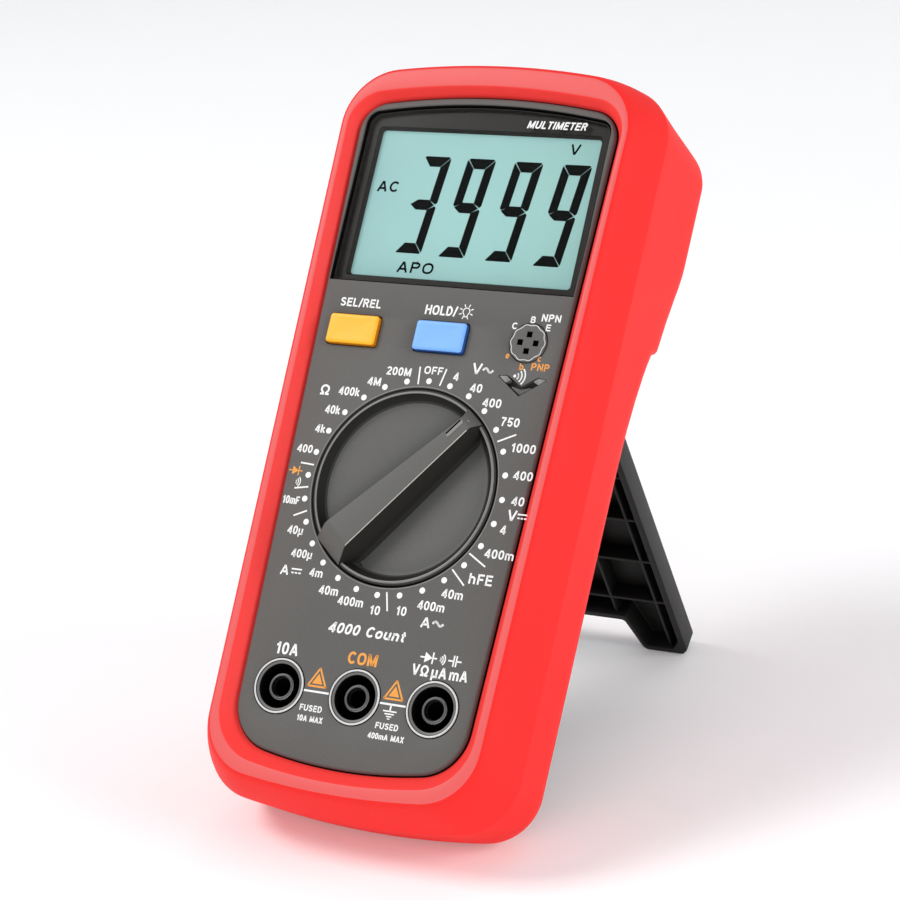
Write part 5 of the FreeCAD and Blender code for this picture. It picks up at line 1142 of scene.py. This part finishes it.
def make_key(name, key, mat, side, body, node):
    cx, cy = KEYS[key]
    sh = Shell()
    prof = [(0.9, 0.9, 0.8, -3.3), (0.9, 0.9, 0.8, -2.55), (0.0, 0.0, 0.75, -2.5), (0.0, 0.0, 0.75, 0.12), (-0.04, -0.04, 0.75, 0.72), (-0.08, -0.08, 0.73, 0.9), (-0.17, -0.17, 0.7, 1.02),
            (-0.3, -0.3, 0.62, 1.1), (-0.52, -0.52, 0.5, 1.14), (-0.8, -0.8, 0.42, 1.15)]
    rings = [sh.ring(rrect(cx, cy, 6.3 + dx, 3.45 + dy, r, w, 8, 6)) for dx, dy, r, w in prof]
    # the skirt and flange take the darker copy as painted shade
    for k, (a, b) in enumerate(zip(rings, rings[1:])):
        sh.strip(a, b, 1 if k < 5 else 0)
    # faint dish in the top
    last = rings[-1]
    for t, w in ((0.75, 1.12), (0.45, 1.10), (0.15, 1.09)):
        nxt = sh.ring([(cx + (sh.v[i][0] - cx) * t / 1.0, cy + (sh.v[i][1] - cy) * t, w) for i in rings[-1]])
        sh.strip(last, nxt)
        last = nxt
    sh.face(last)
    sh.face(rings[0][::-1])
    lathe_r = lathe(sh, [(2.2, -3.3), (2.2, -6.3), (2.0, -6.5)], cx, cy, 32)
    sh.face(lathe_r[0])
    sh.face(lathe_r[-1][::-1])
    return build(name, sh.v, sh.f, FACE, [mat, side], sh.m, body, 40, (node,))


for kx, ky in KEYS.values():
    sh = Shell()
    rr = [sh.ring(rrect(kx, ky, 6.3 + d, 3.45 + d, 0.85 + d * 0.5, w_, 7, 4)) for d, w_ in ((0.62, -0.05), (0.6, 0.02), (0.54, 0.05), (0.46, 0.05), (0.4, 0.01), (0.38, -0.05))]
    for k in range(len(rr)):
        sh.strip(rr[k], rr[(k + 1) % len(rr)])
    build("key_surround_%d" % (1 if kx < 0 else 2), sh.v, sh.f, FACE, [PANEL_M], None, "meter", 30)


make_key("select_key_cap", "select", YELLOW, YELLOW_SIDE_SHADE, "select_key", "select_button")
make_key("hold_key_cap", "hold", BLUE, BLUE_SIDE_SHADE, "hold_key", "hold_button")

# ------------------------------------------------------------------ transistor socket
sh = Shell()
cx, cy = SOCK
rings = [sh.ring(circ(cx, cy, r, 64, w)) for r, w in ((4.4, -8.8), (4.4, 0.1), (4.32, 0.26), (4.15, 0.35), (4.05, 0.36))]
for a, b in zip(rings, rings[1:]):
    sh.strip(a, b)
holes = []
# the socket holes take the gloss black on their walls and floor as painted shade
for dx, dy in ((0, 1.9), (0, -1.9), (1.9, 0), (-1.9, 0)):
    hr = [sh.ring(rrect(cx + dx, cy + dy, 0.72, 0.72, 0.12, 0.36, 3)), sh.ring(rrect(cx + dx, cy + dy, 0.64, 0.64, 0.1, 0.28, 3)), sh.ring(rrect(cx + dx, cy + dy, 0.64, 0.64, 0.1, -5.5, 3))]
    sh.strip(hr[0], hr[1], 0)
    sh.strip(hr[1], hr[2], 1)
    sh.cap(hr[2], (), 1)
    holes.append(hr[0])
sh.cap(rings[-1], holes)
sh.cap(rings[0])
build("transistor_socket_body", sh.v, sh.f, FACE, [PANEL_M, GLOSS_BLACK], sh.m, "meter", 30, ("transistor_socket",))

# ------------------------------------------------------------------ input sockets
for name, node, (cx, cy) in (("input_socket_10a", "jack_shroud_10a", JACKS[0]), ("input_socket_com", "jack_shroud_com", JACKS[1]), ("input_socket_v", "jack_shroud_v", JACKS[2])):
    sh = Shell()
    prof = [(6.1, -16.0), (6.1, 0.05), (6.06, 0.16), (5.97, 0.22), (5.78, 0.22), (5.66, 0.14), (5.6, 0.0), (5.48, -0.03), (5.12, -0.1), (5.06, -0.12), (4.98, -0.14), (4.92, -0.24), (4.9, -0.6), (4.95, -14.6), (2.95, -14.6),
            (2.95, -1.12), (2.9, -0.98), (2.78, -0.9), (2.38, -0.9), (2.25, -0.96), (2.19, -1.1), (2.19, -1.68), (2.8, -1.68), (2.8, -16.0)]
    # the small steps between the rings take the dark grey as painted shade
    mats = [0, 1, 1, 1, 1, 4, 4, 2, 2, 2, 4, 0, 0, 0, 0, 1, 3, 3, 0, 0, 0, 0, 0]
    rings = lathe(sh, prof, cx, cy, 72, mats)
    sh.strip(rings[-1], rings[0], 0)
    build(name, sh.v, sh.f, FACE, [GLOSS_BLACK, RING_W, RING_G, SLEEVE_M, WELL_SHADE_M], sh.m, "meter", 34, (node,))

# ------------------------------------------------------------------ dial knob


def make_knob():
    sh = Shell()
    n = 160
    prof = [(7.0, -6.2), (7.0, -3.4), (20.6, -3.4), (20.6, -4.1), (22.1, -4.1), (22.15, -4.0), (22.15, -0.2), (22.08, -0.1), (21.9, -0.03), (21.74, 0.0), (21.62, 0.16), (21.5, 0.23),
            (21.3, 0.23), (21.18, 0.15), (21.06, -0.08), (20.95, -0.3), (20.45, -0.9), (19.95, -1.42), (19.5, -1.72), (19.0, -1.79), (18.4, -1.8)]
    # the outer shoulder takes the dark grey and the inner cone the near-black as painted shade; the rim top takes the
    # lighter grey as painted highlight
    rings = lathe(sh, prof, 0, 0, n, [0, 0, 0, 0, 4, 4, 4, 4, 4, 3, 3, 3, 3, 2, 2, 2, 2, 4, 0, 0])
    sh.face(rings[-1])
    sh.face(rings[0][::-1])
    return sh


def bar_section(s, top_l, top_r, top_w, low_l, low_r, low_w, fl, fr, rt):
    """One cross-section of the grip: left foot, left fillet, left wall, rounded top, right wall, right fillet, right foot."""
    pts = []

    def corner(p, a, b, r, k):
        p, a, b = Vector(p), Vector(a), Vector(b)
        da, db = (a - p), (b - p)
        la, lb = da.length, db.length
        da, db = da / la, db / lb
        ang = da.angle(db)
        t = min(r / math.tan(ang / 2), la * 0.48, lb * 0.48)
        r2 = t * math.tan(ang / 2)
        c = p + (da + db).normalized() * (r2 / math.sin(ang / 2))
        s0, e0 = p + da * t - c, p + db * t - c
        th = s0.angle_signed(e0)
        return [(c + Matrix.Rotation(-th * i / k, 2) @ s0) for i in range(k + 1)]
    LF = (low_l - 2.5 * fl, low_w)
    LB, LT, RT, RB = (low_l, low_w), (top_l, top_w), (top_r, top_w), (low_r, low_w)
    RF = (low_r + 2.5 * fr, low_w)
    seq = [Vector(LF)] + corner(LB, LF, LT, fl, 5) + corner(LT, LB, RT, rt, 5) + corner(RT, LT, RB, rt, 5) + corner(RB, RT, RF, fr, 5) + [Vector(RF)]
    return [(p.x, s, p.y) for p in seq]


def make_grip(sh):
    lw = -1.82
    # s, top left, top right, top height, foot left, foot right
    st = [(-21.95, -5.7, 3.1, 0.2, -5.9, 3.2, -0.6, 0.05, 0.05, 0.1), (-21.6, -5.6, 3.05, 0.62, -6.0, 3.4, -1.0, 0.1, 0.1, 0.2),
          (-17.9, -4.82, 2.93, 3.82, -7.0, 4.7, lw, 0.5, 1.0, 0.3), (-17.3, -4.72, 2.9, 4.05, -7.0, 4.75, lw, 0.5, 1.1, 0.3), (-16.6, -4.62, 2.9, 4.1, -6.95, 4.75, lw, 0.5, 1.2, 0.3)]
    for i in range(1, 13):
        t = i / 12.0
        s = -16.6 + 35.6 * t
        st.append((s, -4.62 + 4.1 * t, 2.9 - 0.2 * t, 4.1 - 0.85 * t, -6.95 + 4.25 * t, 4.75 - 0.55 * t, lw, 0.5, 1.2, 0.3))
    st += [(19.7, -0.5, 2.68, 3.22, -2.7, 4.15, lw, 0.5, 0.9, 0.3), (20.1, -0.55, 2.66, 3.0, -2.7, 4.0, lw + 0.3, 0.4, 0.6, 0.3),
           (21.6, -2.2, 2.62, 0.62, -2.75, 2.9, -0.8, 0.1, 0.1, 0.2), (21.95, -2.5, 2.6, 0.2, -2.7, 2.7, -0.5, 0.05, 0.05, 0.1)]
    rows = [sh.ring(bar_section(*x)) for x in st]
    for (a, b), a_s in zip(zip(rows, rows[1:]), [x[0] for x in st]):
        k = len(sh.f)
        sh.strip(a, b, 0, closed=False)
        # the right wall and its fillet take the near-black as painted shade, the outer half of the right top rounding
        # the pale grey as painted highlight
        for q in range(k, len(sh.f)):
            if 18 <= q - k <= 23:
                sh.m[q] = 2
            elif 15 <= q - k <= 17 and -17.5 < a_s < 19.0:
                sh.m[q] = 5
        sh.face((a[0], b[0], b[-1], a[-1]), 0)
    sh.face(rows[0])
    sh.face(rows[-1][::-1])


sh = make_knob()
make_grip(sh)
knob = build("range_dial", sh.v, sh.f, KNOB, [KNOB_M, GAP_SHADE, KNOB_WALL_SHADE, KNOB_RIM_HIGHLIGHT, WELL_SHADE_M, GRIP_EDGE_HIGHLIGHT], sh.m, "dial", 34, ("dial_knob",))
# pointer: a sunk line with a pale rim in the lighter grey of painted highlight and its inside in the black of painted
# shade, and a pip on the nose in the same highlight grey


def top_h(s):
    return 4.1 - 0.85 * (s + 16.6) / 35.6


sh = Shell()
slot_o = [(-0.4, 14.9), (0.85, 14.9), (0.85, 19.7), (-0.4, 19.7)]
slot_i = [(-0.3, 15.05), (0.12, 15.05), (0.12, 19.55), (-0.3, 19.55)]
a = sh.ring([(x, y, top_h(y) + 0.005) for x, y, _ in rpoly(slot_o, 0.4, 0, 5)])
b = sh.ring([(x, y, top_h(y) + 0.10) for x, y, _ in rpoly([(x * 0.96, y) for x, y in slot_o], 0.38, 0, 5)])
c = sh.ring([(x, y, top_h(y) + 0.10) for x, y, _ in rpoly(slot_i, 0.18, 0, 5)])
d = sh.ring([(x, y, top_h(y) + 0.01) for x, y, _ in rpoly(slot_i, 0.17, 0, 5)])
sh.strip(a, b, 2)
sh.strip(b, c, 2)
sh.strip(c, d, 0)
sh.face(d)
sh.face(a[::-1], 2)
pip = lathe(sh, [(0.3, 1.6), (0.28, 2.42), (0.2, 2.52), (0.08, 2.56)], 0.95, 20.45, 16, [2, 2, 2])
sh.face(pip[-1], 2)
sh.face(pip[0][::-1], 2)
build("dial_pointer_line", sh.v, sh.f, KNOB, [GAP_SHADE, RING_G, BEAD_HIGHLIGHT_M], sh.m, "dial", 30)

# ------------------------------------------------------------------ tilt stand


def make_stand():
    sh = Shell()
    WALL = 3.55
    outline = [(-31.3, -3.2), (31.3, -3.2), (31.3, -83.0), (29.9, -84.7), (19.6, -84.7), (16.8, -74.5), (-16.8, -74.5), (-19.6, -84.7), (-29.9, -84.7), (-31.3, -83.0)]
    radii = [0.6, 0.6, 1.0, 1.3, 1.5, 1.3, 1.3, 1.5, 1.3, 1.0]

    def grow(pts, d):
        """Moves every side of the closed polygon outwards by d."""
        out = []
        m = len(pts)
        for i in range(m):
            p0, p1, p2 = Vector(pts[i - 1]), Vector(pts[i]), Vector(pts[(i + 1) % m])
            e1, e2 = (p1 - p0).normalized(), (p2 - p1).normalized()
            n1, n2 = Vector((-e1.y, e1.x)), Vector((-e2.y, e2.x))   # clockwise loop: left is outside
            b = (n1 + n2)
            b = b / b.dot(n1) if abs(b.dot(n1)) > 1e-6 else n1
            out.append((p1.x + b.x * d, p1.y + b.y * d))
        return out
    levels = [(-0.42, 3.55), (-0.2, 3.50), (-0.05, 3.38), (0.0, 3.2), (0.0, -2.9), (-0.08, -3.25), (-0.25, -3.47), (-0.5, -3.55)]
    rings = []
    for d, z in levels:
        taper = -1.2 * (3.55 - z) / 7.1
        P = [(x * (1 + (taper / 31.3)), y - (1.3 * (3.55 - z) / 7.1 if y < -80 else 0)) for x, y in outline]
        rings.append(sh.ring(rpoly(grow(P, d), [max(0.25, r + d) for r in radii], z, 5)))
    for a, b in zip(rings, rings[1:]):
        sh.strip(a, b)
    sh.cap(rings[-1])
    hollow = [(-29.6, -8.4), (29.6, -8.4), (29.6, -80.0), (27.7, -83.1), (20.2, -83.1), (17.7, -72.8), (-17.7, -72.8), (-20.2, -83.1), (-27.7, -83.1), (-29.6, -80.0)]
    hr = [sh.ring(rpoly(grow(hollow, d), 0.8 + d * 0.5, z, 4)) for d, z in ((0.22, 3.55), (0.06, 3.49), (0.0, 3.3), (-0.12, -1.35), (-0.3, -1.55))]
    for a, b in zip(hr, hr[1:]):
        sh.strip(a, b)
    sh.cap(rings[0], [hr[0]])
    sh.cap(hr[-1])
    # ribs, a little below the rim
    top = 2.6
    for k, s in enumerate((24.0, 38.4, 52.8, 67.2)):
        v_, f_ = bevel_box("r", None, -29.75, -s - 0.42, -1.7, 29.75, -s + 0.42, top, 0.2, None)
        o = len(sh.v)
        sh.v += v_
        for q in f_:
            sh.f.append(tuple(i + o for i in q))
            sh.m.append(0)
    for x in (-26.7, -15.0, -5.0, 5.0, 15.0, 26.7):
        lo = -83.3 if abs(x) > 20.5 else -72.9
        v_, f_ = bevel_box("r", None, x - 0.38, lo, -1.7, x + 0.38, -8.2, top - 0.01, 0.2, None)
        o = len(sh.v)
        sh.v += v_
        for q in f_:
            sh.f.append(tuple(i + o for i in q))
            sh.m.append(0)
    # rounded hinge barrel
    n = 40
    prof = [(-31.3, 2.6), (-31.22, 3.05), (-31.0, 3.38), (-30.6, 3.53), (-30.0, 3.55), (30.0, 3.55), (30.6, 3.53), (31.0, 3.38), (31.22, 3.05), (31.3, 2.6)]
    rr = [sh.ring([(x, r * math.cos(2 * math.pi * i / n), r * math.sin(2 * math.pi * i / n)) for i in range(n)]) for x, r in prof]
    for a, b in zip(rr, rr[1:]):
        sh.strip(a, b)
    sh.face(rr[0][::-1])
    sh.face(rr[-1])
    v_, f_ = bevel_box("r", None, -30.6, -8.6, -3.55, 30.6, -0.5, 3.52, 0.12, None)
    o = len(sh.v)
    sh.v += v_
    for q in f_:
        sh.f.append(tuple(i + o for i in q))
        sh.m.append(0)
    return build("tilt_stand", sh.v, sh.f, STAND, [BLACK], None, "stand", 34, ("stand",), merge=True)


make_stand()

# ------------------------------------------------------------------ surfaces of the carried-over parts
LOOK = {
    "rear_case": BLACK_CAD, "battery_cover": BLACK_CAD, "stand_pins": STEEL_M, "battery_screw": DARK_STEEL, "case_screws": DARK_STEEL, "pcb_screws": STEEL_M,
    "main_pcb": PCB_M, "main_chip": CHIP_M, "capacitors": CAN_M, "ptc_discs": DISC_M, "resistors": RESIST_M, "range_relays": CHIP_M, "battery_9v": CELL_M,
    "contact_plates": STEEL_M, "fuse_high": CERAMIC_M, "fuse_low": CERAMIC_M, "fuse_clips": BRASS_M, "shunt_wire": BRASS_M, "buzzer": CHIP_M,
    "jack_sleeves": SLEEVE_D, "socket_contacts": BRASS_M, "select_dome": SILICONE_M, "hold_dome": SILICONE_M, "switch_rotor": ACETAL_M, "wiper_contacts": BRASS_M,
    "detent_balls": STEEL_M, "detent_springs": STEEL_M, "zebra_strips": SILICONE_M, "lcd_backlight": GUIDE_M, "lcd_frame": BLACK_CAD,
}
for o in list(bpy.data.objects):
    if o.type != "MESH":
        continue
    key = o.name.split(".")[0]
    if key in LOOK:
        o.data.materials.clear()
        o.data.materials.append(LOOK[key])

# ------------------------------------------------------------------ the place it stands in


def floor():
    sh = Shell()
    rows = []
    prof = [(-2.2, 0.0)] + [(1.6, 0.0)] + [(1.6 + 0.8 * math.sin(a), 0.8 - 0.8 * math.cos(a)) for a in [math.radians(x) for x in range(6, 91, 6)]] + [(2.4, 2.6)]
    for y, z in prof:
        rows.append(sh.ring([(x, y, z) for x in (-3.0, -1.0, 1.0, 3.0)]))
    for a, b in zip(rows, rows[1:]):
        sh.strip(a, b, 0, closed=False)
    m = material("pale_floor", srgb(246, 246, 246), rough=0.75, grain=0.03, grain_scale=60, speck=0.006, vary=0.006, spec=0.15)
    for nd in m.node_tree.nodes:
        if nd.type == "BSDF_PRINCIPLED":
            nd.inputs["Emission Color"].default_value = (1.0, 1.0, 1.0, 1.0)
            nd.inputs["Emission Strength"].default_value = 0.12
    me = bpy.data.meshes.new("floor")
    me.from_pydata(sh.v, [], sh.f)
    me.materials.append(m)
    for p in me.polygons:
        p.use_smooth = True
    o = bpy.data.objects.new("floor", me)
    bpy.context.scene.collection.objects.link(o)


floor()


def area(name, loc, target, sx, sy, power, col=(1, 1, 1)):
    d = bpy.data.lights.new(name, "AREA")
    d.shape = "RECTANGLE"
    d.size, d.size_y = sx, sy
    d.energy = power
    d.color = col
    o = bpy.data.objects.new(name, d)
    bpy.context.scene.collection.objects.link(o)
    o.location = loc
    o.rotation_euler = (Vector(target) - Vector(loc)).to_track_quat("-Z", "Y").to_euler()
    return o


area("key", (-0.95, -0.35, 1.20), (0, 0.0, 0.06), 0.55, 0.55, 12.0)
area("side", (1.15, 0.02, 0.50), (0, 0.0, 0.06), 0.7, 0.7, 7.6)
area("low_front", (0.1, -1.25, 0.35), (0, 0.0, 0.05), 1.2, 0.4, 4.2)
area("top", (0.1, 0.75, 1.05), (0, 0.03, 0.10), 0.9, 0.5, 1.0)
w = bpy.data.worlds.new("studio")
bpy.context.scene.world = w
w.use_nodes = True
bg = w.node_tree.nodes["Background"]
bg.inputs[0].default_value = (0.93, 0.95, 1.0, 1)
bg.inputs[1].default_value = 0.42
bpy.context.scene.view_settings.view_transform = "Standard"
bpy.context.scene.view_settings.look = "None"

# ------------------------------------------------------------------ camera
C0 = FACE @ Vector((298.3, -120.4, 521.4))
R0, R1, R2 = (0.87575, 0.21659, -0.43144), (0.09344, -0.95285, -0.28868), (-0.47363, 0.21250, -0.85470)


def world(d):
    return (U * d[0] + V * d[1] + W * d[2])


right, up, back = world(R0), -world(R1), -world(R2)
cam = bpy.data.cameras.new("photo_camera")
cam.lens = 112.9
cam.sensor_width = 36.0
cam.sensor_fit = "HORIZONTAL"
cam.clip_start = 0.01
co = bpy.data.objects.new("photo_camera", cam)
bpy.context.scene.collection.objects.link(co)
co.matrix_world = Matrix(((right.x, up.x, back.x, C0.x), (right.y, up.y, back.y, C0.y), (right.z, up.z, back.z, C0.z), (0, 0, 0, 1)))
bpy.context.scene.camera = co
